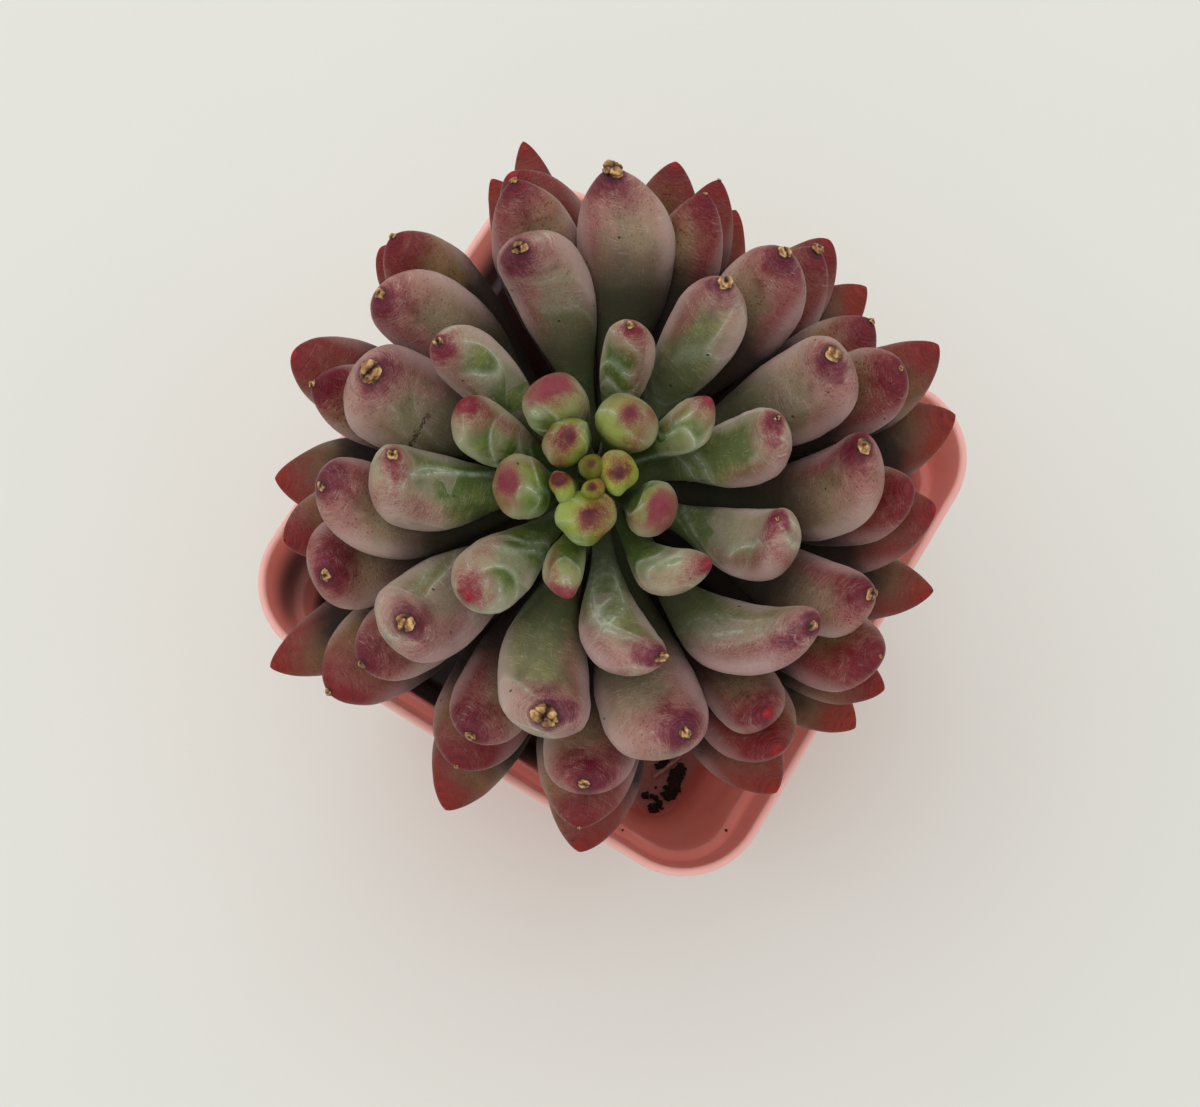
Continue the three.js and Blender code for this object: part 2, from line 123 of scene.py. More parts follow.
# Camera, with its place in millimetres, and the room's light, with its place in metres
LENS = 55.5
SENSOR_WIDTH = 36
CAMERA_PLACE = (-1.96, -59.09, 297.26)
CAMERA_TILT = 13.3
NEAR_CLIP = 0.01
ROOM_COLOUR = (0.97, 1, 1, 1)
ROOM_STRENGTH = 0.93
SOFT_BOX_PLACE = (-0.16, 0.14, 0.85)
SOFT_BOX_AIM = (-0.16, 0.14, 0.78)
SOFT_BOX_SIZE = 1.2
SOFT_BOX_ENERGY = 3.5
SOFT_BOX_COLOUR = (1, 0.99, 0.97)
STAGE_HALF = 1.5

# Rosette frame
PHOTO_TURN = 31.6
CROWN_ABOVE_RIM = 44
CROWN_SIDEWAYS = -2.9
CROWN_FORWARD = 7.1
LEAN = 12.6
LEAN_TOWARD = -108.7

# Leaves: azimuth in degrees, reach in millimetres and, for some, the width as a share of the usual
LEAF_PLACES = [
    [94, 1.5, 0.9], [270, 1], [6, 3, 1.4], [188, 3.5, 0.85], [265, 4, 1.6], [117, 5, 1.2],
    [59, 8, 1.1], [183, 9, 1.06], [337, 8], [116, 10.5, 1.02], [259, 12.9, 0.64], [32.5, 15, 0.62],
    [150, 15.5, 0.76], [323, 15.5, 0.68], [224, 18, 0.88], [75, 16.5, 0.7], [173, 21, 0.97],
    [138, 21.5, 0.75], [16.6, 20.3, 0.84], [346.7, 20, 0.85], [291, 20.3, 0.82], [54.5, 24.5, 0.83],
    [259, 25.1, 1.06], [218, 24.5, 1.1], [325.5, 27.6, 0.85], [106.7, 25, 0.92], [154, 25.5, 1.15],
    [26, 28], [290, 28, 1.15], [85.3, 31.7, 1.05], [138.5, 29, 0.95], [181.5, 28.1],
    [5.6, 28.3, 0.95], [336.7, 31.3, 0.8], [48.3, 30.5, 0.95], [200, 29, 1.12], [268.5, 31.2, 1.05],
    [245, 29, 0.95], [306.3, 30.4, 0.79], [104, 31.6], [219, 30.2, 0.93], [18.4, 33.5, 0.9],
    [161, 30.5, 0.85], [28, 32.5, 0.9], [67.2, 31.3, 0.8], [327.7, 34.7, 0.97], [44.3, 32.4, 0.9],
    [129, 32.2, 0.96], [357, 32.8, 0.84], [245, 32.1, 1.1], [268, 35.4, 1.15], [304, 33.9],
    [219, 34.6, 1.1], [157, 33.6, 0.9], [104, 32.5], [191, 32.5, 0.9], [44, 34.2, 0.85],
    [74.3, 33.6, 0.85], [66, 33.2, 0.8], [132, 32.5, 0.85], [354, 35.4, 0.95], [20, 38, 0.85],
    [323.5, 37.1, 0.85], [268, 38.5, 1.1], [246, 37.5], [300, 37.6], [210, 39, 0.85],
    [158, 33, 0.85], [101, 35.9, 0.6], [179.5, 33.3], [108, 33, 0.7], [61, 31.5, 0.8],
    [34, 34.5, 0.85], [9, 38, 0.95], [341, 37.1, 0.85], [316, 37.5, 0.9],
]
VIEW_DISTANCE = 190
SIGHT_SLOPE = (-0.075, 0.063)
HEART_LEAVES = 22
BUD_WIDTH = 2.2
LEAF_WIDTH = 11.3
WIDTH_GAIN_REACH = 13
TIP_DROP = 26
TIP_DROP_POWER = 1.7
FIRST_SEAT_DROP = 6
LAST_SEAT_DROP = 23.5
SEAT_DROP_POWER = 0.75
SEAT_SPREAD_ORDERS = 10
HEART_SEAT_SHARE = 0.3
YOUNG_THICKNESS = 1
OLD_THICKNESS = 0.47
THINNING_POWER = 0.35
YOUNG_CURL = 5
FULL_CURL = 30
FULL_CURL_ORDER = 5
SAG_AGE = 0.5
SAG_CURL_LOSS = 18
NECK_WIDTH = 0.3
NECK_START = 0.12
BELLY_AT = 0.74
ROOT_ROUNDING = 0.03
POINTED_CLOSING = (1.7, 0.7)
BLUNT_CLOSING = (2.4, 0.5)
BLUNT_FROM_ORDER = 20
BLUNT_UNTIL_AGE = 0.6
POINTED_FROM_AGE = 0.9
TIP_LIFT = 0.42
TIP_OVERHANG = 0.3
PILE_TEST_AT = 0.75
PILE_PRESS = 0.8
LEAF_RINGS = 46
LEAF_SIDES = 40
PATH_STEPS = 300
ROOT_SINK = 0.5
HEART_SINK = 0.4
LEAF_RELIEF = 0.035
# Ages, from 0 at the heart to 1 outside, with the reach of the blush in millimetres
BLUSH_BY_AGE = [(0, 0.12, 0.16, 0.5), (2.6, 3, 4.6, 6.5)]
# Dents from other leaves, as a share of the leaf's radius: in the youngest, and from an age on
CREASE_DEPTHS = (0.32, 0.04)
CREASE_FADE_AGE = 0.25

# Dry crusts on the leaf tips, by the leaf's order from the heart: width in millimetres
CRUST_WIDTHS = {
    15: 1.1, 16: 1.3, 17: 1.2, 18: 0.8, 19: 0.5, 20: 1.3, 21: 1.6, 22: 2.7, 23: 2.2, 24: 1.2,
    25: 1.8, 26: 2.5, 27: 1.8, 28: 1.4, 29: 2.2, 30: 1.4, 31: 1.1, 32: 1.7, 33: 1.4, 34: 1.4,
    35: 1.3, 36: 1.2, 37: 1.2, 39: 0.9, 40: 1.1, 41: 0.6, 42: 0.9, 43: 0.9, 44: 0.5, 45: 0.5,
    46: 1.5, 47: 0.9, 49: 0.6, 50: 0.5, 52: 1.1, 55: 0.4, 58: 0.5,
}
# Leaves with a dry crack across the blade: how far it is from the tip, in millimetres
SCARS = {26: 9.2}
NO_SCAR = 99
# Crusts split into more lobes than the usual one or two
CRUST_LOBES = {22: 4, 23: 2, 26: 2, 25: 3, 29: 4}
SMALL_CRUST = 1.5
CRUST_MESH = (34, 56)
SMALL_CRUST_MESH = (20, 36)
CRUST_HEIGHT = 0.62
CRUST_PIT = 0.7
CRUST_GROOVE = 0.45
CREVICE_WIDTH = 0.3
# How far a tip turns up at its end in degrees, as its crust sits inside the leaf's outline
TIP_TURNS = {
    4: 25, 10: -10, 11: -20, 13: 0, 15: 15, 16: 50, 17: 20, 18: 20, 19: 55, 20: 20, 21: 20,
    22: 46, 23: 56, 24: 25, 25: 40, 26: 40, 27: 32, 28: 42, 29: 8, 30: 25, 31: 20, 32: 45, 33: 25,
    34: 15, 35: 55, 36: 45, 37: 30, 38: 45, 39: 5, 40: 15, 43: 10, 44: 5, 45: 20, 46: 15, 49: 25,
    51: 30,
}
USUAL_TIP_TURN = 20
TURN_FROM = 0.6
# Leaves that bend: how far the middle of the blade lies off the line to its tip, in millimetres
BOWS = {
    3: 0.5, 5: 0.6, 7: 0.5, 8: -0.4, 10: -0.8, 12: 0.6, 13: -3.2, 16: 0.8, 19: -1.3, 20: -2.4, 22: -3,
    24: -6, 25: -1.2, 28: -0.8, 29: -0.8, 30: -1.2, 31: 3.2, 32: -3, 48: -1, 51: -1, 60: -2.4,
}
# Lopsided leaves: how far the blade at its widest lies to one side of its tip, in millimetres
SIDES = {
    5: 0.3, 8: -0.3, 10: -0.9, 11: -0.8, 12: 0.8, 13: -0.6, 14: -0.5, 16: 2.4, 17: -0.6, 18: -1.8,
    19: -1.9, 20: -2, 21: -0.3, 22: 0.8, 24: -0.3, 25: -0.5, 26: 1.4, 27: -1.7, 28: -2.4, 29: -0.8,
    30: -0.9, 32: -1.7, 33: -2.2, 34: -0.6, 35: -1.2, 38: -0.8, 39: -0.3, 41: -0.5, 43: -1.1, 45: -2,
    46: -0.9, 48: -1, 49: -0.5, 51: -0.3, 52: -0.6, 54: -2, 55: -1.2, 56: -0.6, 60: -1.1, 61: -1.6,
    62: -1.8, 63: 0.8, 64: -0.5, 65: -1, 66: 0.4, 70: -1.1, 73: -1.4, 74: -1.6, 75: -0.9,
}
# Leaves with a sharper end than others of their age, as a share of their bluntness
SLENDER_LEAVES = {
    10: 0, 11: 0, 13: 0.3, 15: 0.4, 18: 0.6, 20: 0.5, 21: 0.3, 29: 0.1, 34: 0.5, 39: 0, 42: 0.2,
    43: 0.3, 44: 0.05, 46: 0.4, 47: 0.4, 50: 0.3, 57: 0, 58: 0,
}
# Leaves with a bright red tip, and how red it is
RED_TIPS = {
    9: 0.2, 10: 0.4, 11: 0.3, 12: 0.2, 13: 0.3, 14: 0.4, 38: 1, 49: 0.7, 51: 1, 53: 0.8, 54: 1,
    57: 1, 60: 1, 65: 0.8,
}
OLD_AGE = 0.6
OLD_REDNESS = 0.35


def rad(degrees):
    return math.radians(degrees)


def lerp(low, high, share):
    return low + (high - low) * share


def circle(count):
    return np.linspace(0, 2 * math.pi, count, endpoint=False)


def smoother(share):
    share = np.clip(share, 0, 1)
    return share ** 3 * (share * (share * 6 - 15) + 10)


def srgb(red, green, blue):
    """A colour as it is read on a screen, 0 to 255, turned into Blender's linear values."""
    values = [value / 255 for value in (red, green, blue)]
    linear = [v / 12.92 if v < 0.04045 else ((v + 0.055) / 1.055) ** 2.4 for v in values]
    return (*linear, 1)


def link(name, data):
    """A new object in the scene, with a mesh, a light or a camera as its data."""
    thing = bpy.data.objects.new(name, data)
    bpy.context.scene.collection.objects.link(thing)
    return thing


# Meshes
class Patch:
    """Points in millimetres with their faces, one material and three values a point per field."""

    def __init__(self, points, faces, material=0, **fields):
        self.points = np.asarray(points, float)
        self.faces = faces
        self.material = material
        self.fields = fields


def outward(points, faces):
    """The faces, turned over if they enclose a negative volume."""
    volume = 0
    for face in faces:
        first = points[face[0]]
        for second, third in zip(face[1:-1], face[2:]):
            volume += np.dot(first, np.cross(points[second], points[third]))
    return faces if volume > 0 else [face[::-1] for face in faces]


def tube_faces(rings, sides):
    """Faces over a first pole, rings of points and a last pole."""
    last = 1 + rings * sides
    faces = []
    for side in range(sides):
        after = (side + 1) % sides
        faces.append((0, 1 + after, 1 + side))
        for ring in range(rings - 1):
            low = 1 + ring * sides
            faces.append((low + side, low + after, low + sides + after, low + sides + side))
        top = 1 + (rings - 1) * sides
        faces.append((top + side, top + after, last))
    return faces


def make_piece(name, patches, materials, replaced, frame_matrix=Matrix.Identity(4)):
    """One smooth object from several patches, riding on the part's only body."""
    points = np.vstack([patch.points for patch in patches])
    matrix = np.array(frame_matrix)
    points = points @ matrix[:3, :3].T + matrix[:3, 3]
    points = np.clip(points, *CAD_CORNERS)
    faces = []
    slots = []
    offset = 0
    for patch in patches:
        faces += [tuple(corner + offset for corner in face) for face in patch.faces]
        slots += [patch.material] * len(patch.faces)
        offset += len(patch.points)
    mesh = bpy.data.meshes.new(name)
    mesh.from_pydata((points * MM).tolist(), [], faces)
    mesh.polygons.foreach_set("material_index", slots)
    mesh.polygons.foreach_set("use_smooth", [True] * len(faces))
    for field in patches[0].fields:
        values = np.vstack([
            patch.fields.get(field, np.zeros((len(patch.points), 3))) for patch in patches
        ])
        attribute = mesh.attributes.new(field, "FLOAT_VECTOR", "POINT")
        attribute.data.foreach_set("vector", values.astype(np.float32).ravel())
    for material in materials:
        mesh.materials.append(material)
    piece = link(name, mesh)
    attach(piece, "root")
    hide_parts(replaced)
    return piece


def unit_ball(fineness):
    bm = bmesh.new()
    bmesh.ops.create_icosphere(bm, subdivisions=fineness, radius=1)
    points = np.array([vertex.co for vertex in bm.verts])
    faces = [tuple(vertex.index for vertex in face.verts) for face in bm.faces]
    bm.free()
    return points, faces


# Materials
class Shade:
    """One material's node tree, built with short calls. Values are sockets or numbers."""

    def __init__(self, name):
        self.material = bpy.data.materials.new(name)
        self.material.use_nodes = True
        self.tree = self.material.node_tree

    def set(self, socket, value):
        if isinstance(value, bpy.types.NodeSocket):
            self.tree.links.new(value, socket)
        else:
            socket.default_value = value

    def node(self, kind, *values, **settings):
        """A new node with its settings, and its first inputs filled in."""
        node = self.tree.nodes.new("ShaderNode" + kind)
        for name, value in settings.items():
            setattr(node, name, value)
        for socket, value in zip(node.inputs, values):
            self.set(socket, value)
        return node

    def finish(self, **inputs):
        shader = self.tree.nodes["Principled BSDF"]
        for name, value in inputs.items():
            label = name.replace("_", " ").title().replace("Ior", "IOR")
            self.set(shader.inputs[label], value)
        return self.material

    def parts(self, field):
        """The three values that the mesh holds under a field's name."""
        vector = self.node("Attribute", attribute_name=field).outputs["Vector"]
        return self.node("SeparateXYZ", vector).outputs[:3]

    def math(self, operation, first, *others):
        for other in others or (0,):
            first = self.node("Math", first, other, operation=operation).outputs[0]
        return first

    def add(self, *values):
        return self.math("ADD", *values)

    def mul(self, *values):
        return self.math("MULTIPLY", *values)

    def sub(self, first, second):
        return self.math("SUBTRACT", first, second)

    def near(self, value, centre, width):
        """1 where value is at centre, falling to 0 a width away."""
        return self.fade(self.math("ABSOLUTE", self.sub(value, centre)), 0, width, 1, 0)

    def fade(self, value, start, end, low=0, high=1):
        """A smooth change from low to high, between two values."""
        node = self.node("MapRange", value, start, end, low, high, interpolation_type="SMOOTHSTEP")
        return node.outputs[0]

    def vector(self, x, y, z):
        return self.node("CombineXYZ", x, y, z).outputs[0]

    def place(self, shift=0):
        """The point on the object in millimetres, moved by shift on all axes."""
        point = self.node("TexCoord").outputs["Object"]
        shifts = self.vector(shift, shift, shift)
        node = self.node("VectorMath", point, (1 / MM,) * 3, shifts, operation="MULTIPLY_ADD")
        return node.outputs[0]

    def offset(self, where, amount):
        return self.node("VectorMath", where, self.vector(amount, amount, amount)).outputs[0]

    def noise(self, where, scale, detail, roughness=0.5):
        return self.node("TexNoise", where, 0, scale, detail, roughness).outputs[0]

    def cells(self, where, scale):
        """Distance to the nearest of scattered points, and that point's random value."""
        node = self.node("TexVoronoi", where, 0, scale)
        return node.outputs["Distance"], self.node("SeparateColor", node.outputs["Color"]).outputs[0]

    def ramp(self, value, *stops):
        """Stops of a position with a level from 0 to 1, or with a colour's red, green and blue."""
        node = self.node("ValToRGB", value)
        elements = node.color_ramp.elements
        while len(elements) < len(stops):
            elements.new(0.5)
        for element, (position, *values) in zip(elements, stops):
            element.position = position
            element.color = srgb(*values) if len(values) == 3 else (*values * 3, 1)
        return node.outputs[0]

    def mix(self, share, first, second):
        node = self.node("Mix", share, data_type="RGBA", clamp_factor=True)
        self.set(node.inputs[6], first)
        self.set(node.inputs[7], second)
        return node.outputs[2]

    def tone(self, colour, saturation, value):
        return self.node("HueSaturation", 0.5, saturation, value, 1, colour).outputs[0]

    def bump(self, height, distance, strength):
        node = self.node("Bump", strength, distance * MM)
        self.set(node.inputs["Height"], height)
        return node.outputs[0]


class LeafShade(Shade):
    """The skin of the leaves, with the fields and noises that its layers share."""

    def __init__(self):
        super().__init__("leaf skin")
        self.age, self.seed, self.crust = self.parts("leaf")
        self.along, self.side, self.upper = self.parts("form")
        self.from_tip, self.sideways, self.tip_distance = self.parts("skin")
        self.redness, self.blush_side, self.blush = self.parts("tip")
        self.first_crease, self.second_crease, self.scar = self.parts("crease")
        self.spot = self.place(self.mul(self.seed, 300))
        self.blotch = self.noise(self.spot, 0.36, 4, 0.6)
        self.mottle = self.noise(self.spot, 1.5, 4, 0.65)
        self.grain = self.noise(self.spot, 6, 3, 0.6)
        self.drift = self.sub(self.blotch, 0.5)
        self.ripple = self.sub(self.mottle, 0.5)
        self.slope = self.mul(self.side, self.blush_side)
        self.edge = self.math("ABSOLUTE", self.side)
        self.body = None

    def cover(self, share, colour):
        """Lays a colour over the skin so far."""
        self.body = self.mix(share, self.body, colour)

    def by_age(self, *stops):
        return self.ramp(self.age, *stops)

    def drifted(self, value, amount):
        return self.add(value, self.mul(self.drift, amount))

    def rippled(self, value, amount):
        return self.add(value, self.mul(self.ripple, amount))


def lay_ground(s):
    """Middle and margins of the blade, with cream where the blush leaves it free."""
    middle = s.by_age(
        (0, 100, 92, 32), (0.025, 136, 152, 56), (0.1, 120, 132, 66), (0.18, 118, 124, 94),
        (0.28, 118, 106, 92), (0.42, 106, 84, 68), (0.62, 88, 58, 36), (1, 78, 44, 30),
    )
    rim = s.by_age(
        (0, 108, 98, 40), (0.025, 150, 164, 76), (0.1, 132, 136, 82), (0.18, 150, 142, 116),
        (0.28, 160, 130, 118), (0.45, 142, 94, 88), (0.66, 112, 60, 52), (1, 98, 44, 36),
    )
    share = s.add(s.mul(s.edge, 0.75), s.mul(s.fade(s.from_tip, 9, 1), 0.55))
    share = s.add(share, s.mul(s.drift, 1.5), s.mul(s.slope, 0.25))
    s.body = s.mix(s.fade(share, 0.2, 0.85), middle, rim)
    cream = s.mul(s.near(s.drifted(s.from_tip, 7), 5.5, 4.5), s.fade(s.slope, 0.45, -0.25))
    cream = s.mul(cream, s.by_age((0.12, 0), (0.25, 0.4), (0.6, 0.5), (0.9, 0.3)))
    s.cover(cream, s.mix(s.fade(s.age, 0.3, 0.75), srgb(158, 144, 116), srgb(120, 98, 58)))
    s.cover(s.fade(s.mottle, 0.45, 0.8, 0, 0.35), s.mix(0.5, s.body, srgb(70, 48, 44)))


def lay_greens(s):
    """Fresh green where other leaves have shaded or pressed the blade."""
    _, cell = s.cells(s.offset(s.spot, s.mul(s.drift, 2.2)), 0.17)
    border = s.by_age((0, 1), (0.05, 0.9), (0.1, 0.68), (0.3, 0.52), (0.5, 0.42), (1, 0.3))
    rise = s.add(s.math("DIVIDE", s.along, border), s.mul(s.drift, 0.3), s.mul(s.ripple, 0.06))
    rise = s.add(rise, s.mul(s.sub(cell, 0.5), 0.7))
    green = s.fade(rise, 1.05, s.by_age((0, 0.7), (0.1, 0.95), (0.28, 0.8), (0.5, 0.5)))
    strength = s.by_age((0, 0.3), (0.06, 0.6), (0.15, 0.95), (0.28, 0.6), (0.5, 0.35), (1, 0.15))
    pressed = s.mul(s.fade(s.rippled(s.first_crease, 0.03), 0, 0.05), s.fade(s.along, 0.97, 0.8))
    pressed = s.mul(pressed, s.by_age((0.03, 0), (0.08, 0.75), (0.2, 0.85), (0.3, 0.5), (0.4, 0)))
    leaf_green = s.mix(s.fade(s.blotch, 0.4, 0.7), srgb(58, 80, 22), srgb(96, 114, 40))
    leaf_green = s.mix(s.fade(s.age, 0.25, 0.5), leaf_green, srgb(84, 80, 36))
    s.cover(s.math("MAXIMUM", s.mul(green, strength), pressed), leaf_green)


def lay_prints(s):
    """Silvery prints of the edges of leaves that once pressed on this one."""
    printed = s.by_age((0.03, 0), (0.07, 0.9), (0.2, 1), (0.28, 0.7), (0.38, 0))
    for crease in (s.first_crease, s.second_crease):
        apart = s.math("ABSOLUTE", s.rippled(crease, 0.03))
        silver = s.mul(s.fade(apart, 0.13, 0.01), s.fade(s.mottle, 0.3, 0.6, 0.4, 1))
        s.cover(s.mul(silver, printed, 0.42), srgb(170, 178, 156))
        line = s.mul(s.fade(apart, 0.018, 0.005), s.fade(s.add(s.mottle, s.drift), 0.42, 0.6))
        s.cover(s.mul(line, printed, 0.5), srgb(200, 208, 188))


def lay_blush(s):
    """Crimson round the tip, wider towards the heart, running down one margin."""
    outer = s.mul(s.fade(s.upper, 0.15, -0.4), s.fade(s.age, 0.12, 0.25))
    distance = s.mul(s.drifted(s.tip_distance, s.blush), s.add(1, s.mul(outer, 1.3)))
    distance = s.sub(distance, s.mul(s.slope, s.blush, 0.45))
    band = s.fade(s.drifted(s.from_tip, 6), s.mul(s.blush, 2.8), s.mul(s.blush, 1.2))
    band = s.mul(band, s.fade(s.drifted(s.slope, 0.6), 0.08, 0.5))
    halo = s.math("MAXIMUM", s.fade(distance, s.blush, s.mul(s.blush, 0.3)), s.mul(band, 0.85))
    halo = s.mul(halo, s.fade(s.rippled(s.grain, 0.8), 0.3, 0.6, 0.35, 1))
    s.cover(s.mul(halo, 0.88), s.by_age(
        (0, 140, 72, 56), (0.1, 124, 62, 64), (0.2, 134, 66, 72),
        (0.3, 124, 60, 70), (0.5, 108, 38, 46), (1, 118, 44, 32),
    ))
    core = s.fade(distance, s.mul(s.blush, 0.62), s.mul(s.blush, 0.12))
    s.cover(s.mul(core, s.fade(s.mottle, 0.3, 0.55, 0.65, 0.95)), s.by_age(
        (0, 80, 20, 30), (0.1, 100, 28, 42), (0.2, 112, 34, 48),
        (0.28, 88, 30, 50), (0.5, 86, 14, 32), (1, 128, 40, 26),
    ))


def lay_tip_marks(s):
    """The dark eye of a bud, bright red tips, and the mauve flanks of young leaves."""
    tip = s.rippled(s.tip_distance, 1.2)
    s.cover(s.mul(s.fade(tip, 0.9, 0.1), s.fade(s.age, 0.14, 0.08), 0.85), srgb(66, 10, 20))
    s.cover(s.mul(s.redness, s.fade(tip, 0.85, 0.25), 0.85), srgb(146, 24, 24))
    flank = s.mul(s.fade(s.drifted(s.upper, 0.8), 0.55, 0.1), s.near(s.age, 0.115, 0.06))
    s.cover(s.mul(flank, s.fade(s.from_tip, 6.5, 3), 0.75), srgb(126, 56, 66))


def lay_dots(s):
    """Crimson dots, denser near the tip of middle and low leaves."""
    dot, chance = s.cells(s.spot, 2.6)
    dots = s.mul(s.fade(dot, 0.42, 0.2), s.fade(chance, 0.35, 0.6))
    dots = s.mul(dots, s.fade(s.drifted(s.tip_distance, 12), 14, 4))
    s.cover(s.mul(dots, s.by_age((0.2, 0), (0.35, 0.5), (0.55, 0.85), (1, 0.5))), srgb(100, 22, 40))


def lay_lines(s):
    """Fine rings round the tip, and scratches along and across the blade."""
    turned = s.vector(s.mul(s.tip_distance, 3), s.mul(s.side, 0.9), s.mul(s.seed, 9))
    rings = s.fade(s.noise(turned, 1, 3, 0.6), 0.5, 0.6)
    rings = s.mul(rings, s.fade(s.tip_distance, 5.5, 1.5, 0, 0.5), s.fade(s.age, 0.15, 0.3))
    s.cover(rings, s.mix(0.6, s.body, srgb(60, 20, 32)))
    stroke = s.vector(s.mul(s.from_tip, 0.8), s.mul(s.sideways, 9), s.mul(s.seed, 40))
    across = s.add(s.mul(s.from_tip, 9), s.mul(s.sideways, 2))
    hatch = s.vector(across, s.mul(s.sideways, 0.9), s.mul(s.seed, 70))
    scratch = s.add(
        s.mul(s.fade(s.noise(stroke, 1, 3, 0.6), 0.5, 0.72), s.fade(s.mottle, 0.4, 0.7)),
        s.mul(s.fade(s.noise(hatch, 1, 3, 0.6), 0.5, 0.72), s.fade(s.blotch, 0.4, 0.6)),
    )
    scratch = s.mul(scratch, s.by_age((0.06, 0), (0.2, 0.34), (0.45, 0.3), (1, 0.14)))
    scratch = s.mul(scratch, s.fade(s.tip_distance, 0.7, 2.5))
    s.cover(scratch, s.mix(s.fade(s.age, 0.4, 0.9), srgb(204, 190, 178), srgb(156, 120, 112)))
    return rings, scratch


def lay_wax(s):
    """Pale bloom on the margins."""
    wax = s.mul(s.fade(s.edge, 0.55, 0.98), s.fade(s.grain, 0.2, 0.7, 0.6, 1))
    wax = s.mul(wax, s.by_age((0, 0.2), (0.12, 0.6), (0.45, 0.6), (0.7, 0.35), (1, 0.2)))
    s.cover(wax, s.mix(s.fade(s.age, 0.1, 0.25), srgb(166, 182, 138), srgb(190, 168, 164)))
    return wax


def lay_painted_base_shade(s):
    """Painted shade: the blade darker towards its base, where the leaves above shade it, and duller
    there.
    """
    start = s.mul(s.by_age((0.1, 1), (0.3, 0.72), (0.5, 0.5), (1, 0.38)), 18)
    sunk = s.math("DIVIDE", s.drifted(s.from_tip, 5), start)
    depth = s.math("MAXIMUM", s.fade(s.along, 0.6, 0.25), s.mul(s.fade(sunk, 0.6, 1.3), 0.95))
    dark = s.mix(s.fade(s.age, 0.25, 0.5), srgb(34, 44, 12), srgb(20, 15, 9))
    s.cover(s.mul(depth, s.fade(s.age, 0.1, 0.45, 0.6, 0.97)), dark)
    return depth


def lay_wear(s):
    """A dry crack, black specks, a singed ring round the crust and dusty grain."""
    crack = s.math("ABSOLUTE", s.add(s.rippled(s.scar, 3), s.mul(s.sub(s.grain, 0.5), 0.8)))
    crack = s.mul(s.fade(crack, 0.32, 0.08), s.fade(s.rippled(s.sideways, 2), -1, 0.5))
    s.cover(s.mul(crack, 0.9), srgb(30, 18, 12))
    shallow, picked = s.cells(s.spot, 0.5)
    specks = s.mul(s.fade(shallow, 0.11, 0.05), s.fade(picked, 0.72, 0.76))
    s.cover(s.mul(specks, 0.8), srgb(34, 22, 20))
    singed = s.fade(s.rippled(s.tip_distance, 0.8), s.mul(s.crust, 1.7), s.mul(s.crust, 0.85))
    s.cover(s.mul(singed, 0.6), srgb(44, 14, 22))
    s.cover(s.fade(s.grain, 0.42, 0.7, 0, 0.22), s.mix(0.45, s.body, srgb(40, 30, 22)))
    return specks


def leaf_skin():
    """Waxy skin: green at the base, olive to mauve over the blade, crimson round the tip, with
    painted shade deep at the base.
    """
    s = LeafShade()
    for layer in (lay_ground, lay_greens, lay_prints, lay_blush, lay_tip_marks, lay_dots):
        layer(s)
    rings, scratch = lay_lines(s)
    wax = lay_wax(s)
    depth = lay_painted_base_shade(s)
    specks = lay_wear(s)
    value = s.by_age((0, 0.84), (0.1, 0.86), (0.2, 0.98), (0.4, 1), (0.8, 0.98))
    rough = s.mul(s.math("MAXIMUM", wax, depth), 0.35)
    rough = s.add(0.44, rough, s.mul(s.sub(s.grain, 0.5), 0.25))
    height = s.add(s.mul(s.grain, 0.4), s.mul(s.mottle, 0.8), s.mul(scratch, 0.7))
    height = s.sub(height, s.mul(s.add(specks, rings), 0.8))
    return s.finish(
        base_color=s.tone(s.body, 1.1, value), roughness=rough, normal=s.bump(height, 0.1, 0.9),
        sheen_weight=0.03, sheen_roughness=0.3, subsurface_weight=0.04, subsurface_scale=0.0015,
        specular_ior_level=0.28,
    )


def crust_bark():
    """Dry tan crust, with painted shade dark brown in its folds and a painted golden highlight on its
    ridges.
    """
    s = Shade("tip crust")
    height, seed, _ = s.parts("form")
    place = s.place(s.mul(seed, 50))
    grain = s.noise(place, 2.6, 4, 0.6)
    fibres = s.noise(place, 13, 2, 0.6)
    level = s.add(height, s.mul(s.sub(grain, 0.5), 0.45))
    colour = s.ramp(
        level, (0.05, 30, 15, 8), (0.25, 78, 46, 24), (0.48, 122, 82, 44),
        (0.75, 158, 116, 68), (1, 194, 156, 106),
    )
    return s.finish(
        base_color=colour, roughness=s.fade(grain, 0.3, 0.7, 0.3, 0.6),
        normal=s.bump(s.add(grain, s.mul(fibres, 0.4)), 0.08, 0.7), specular_ior_level=0.4,
    )


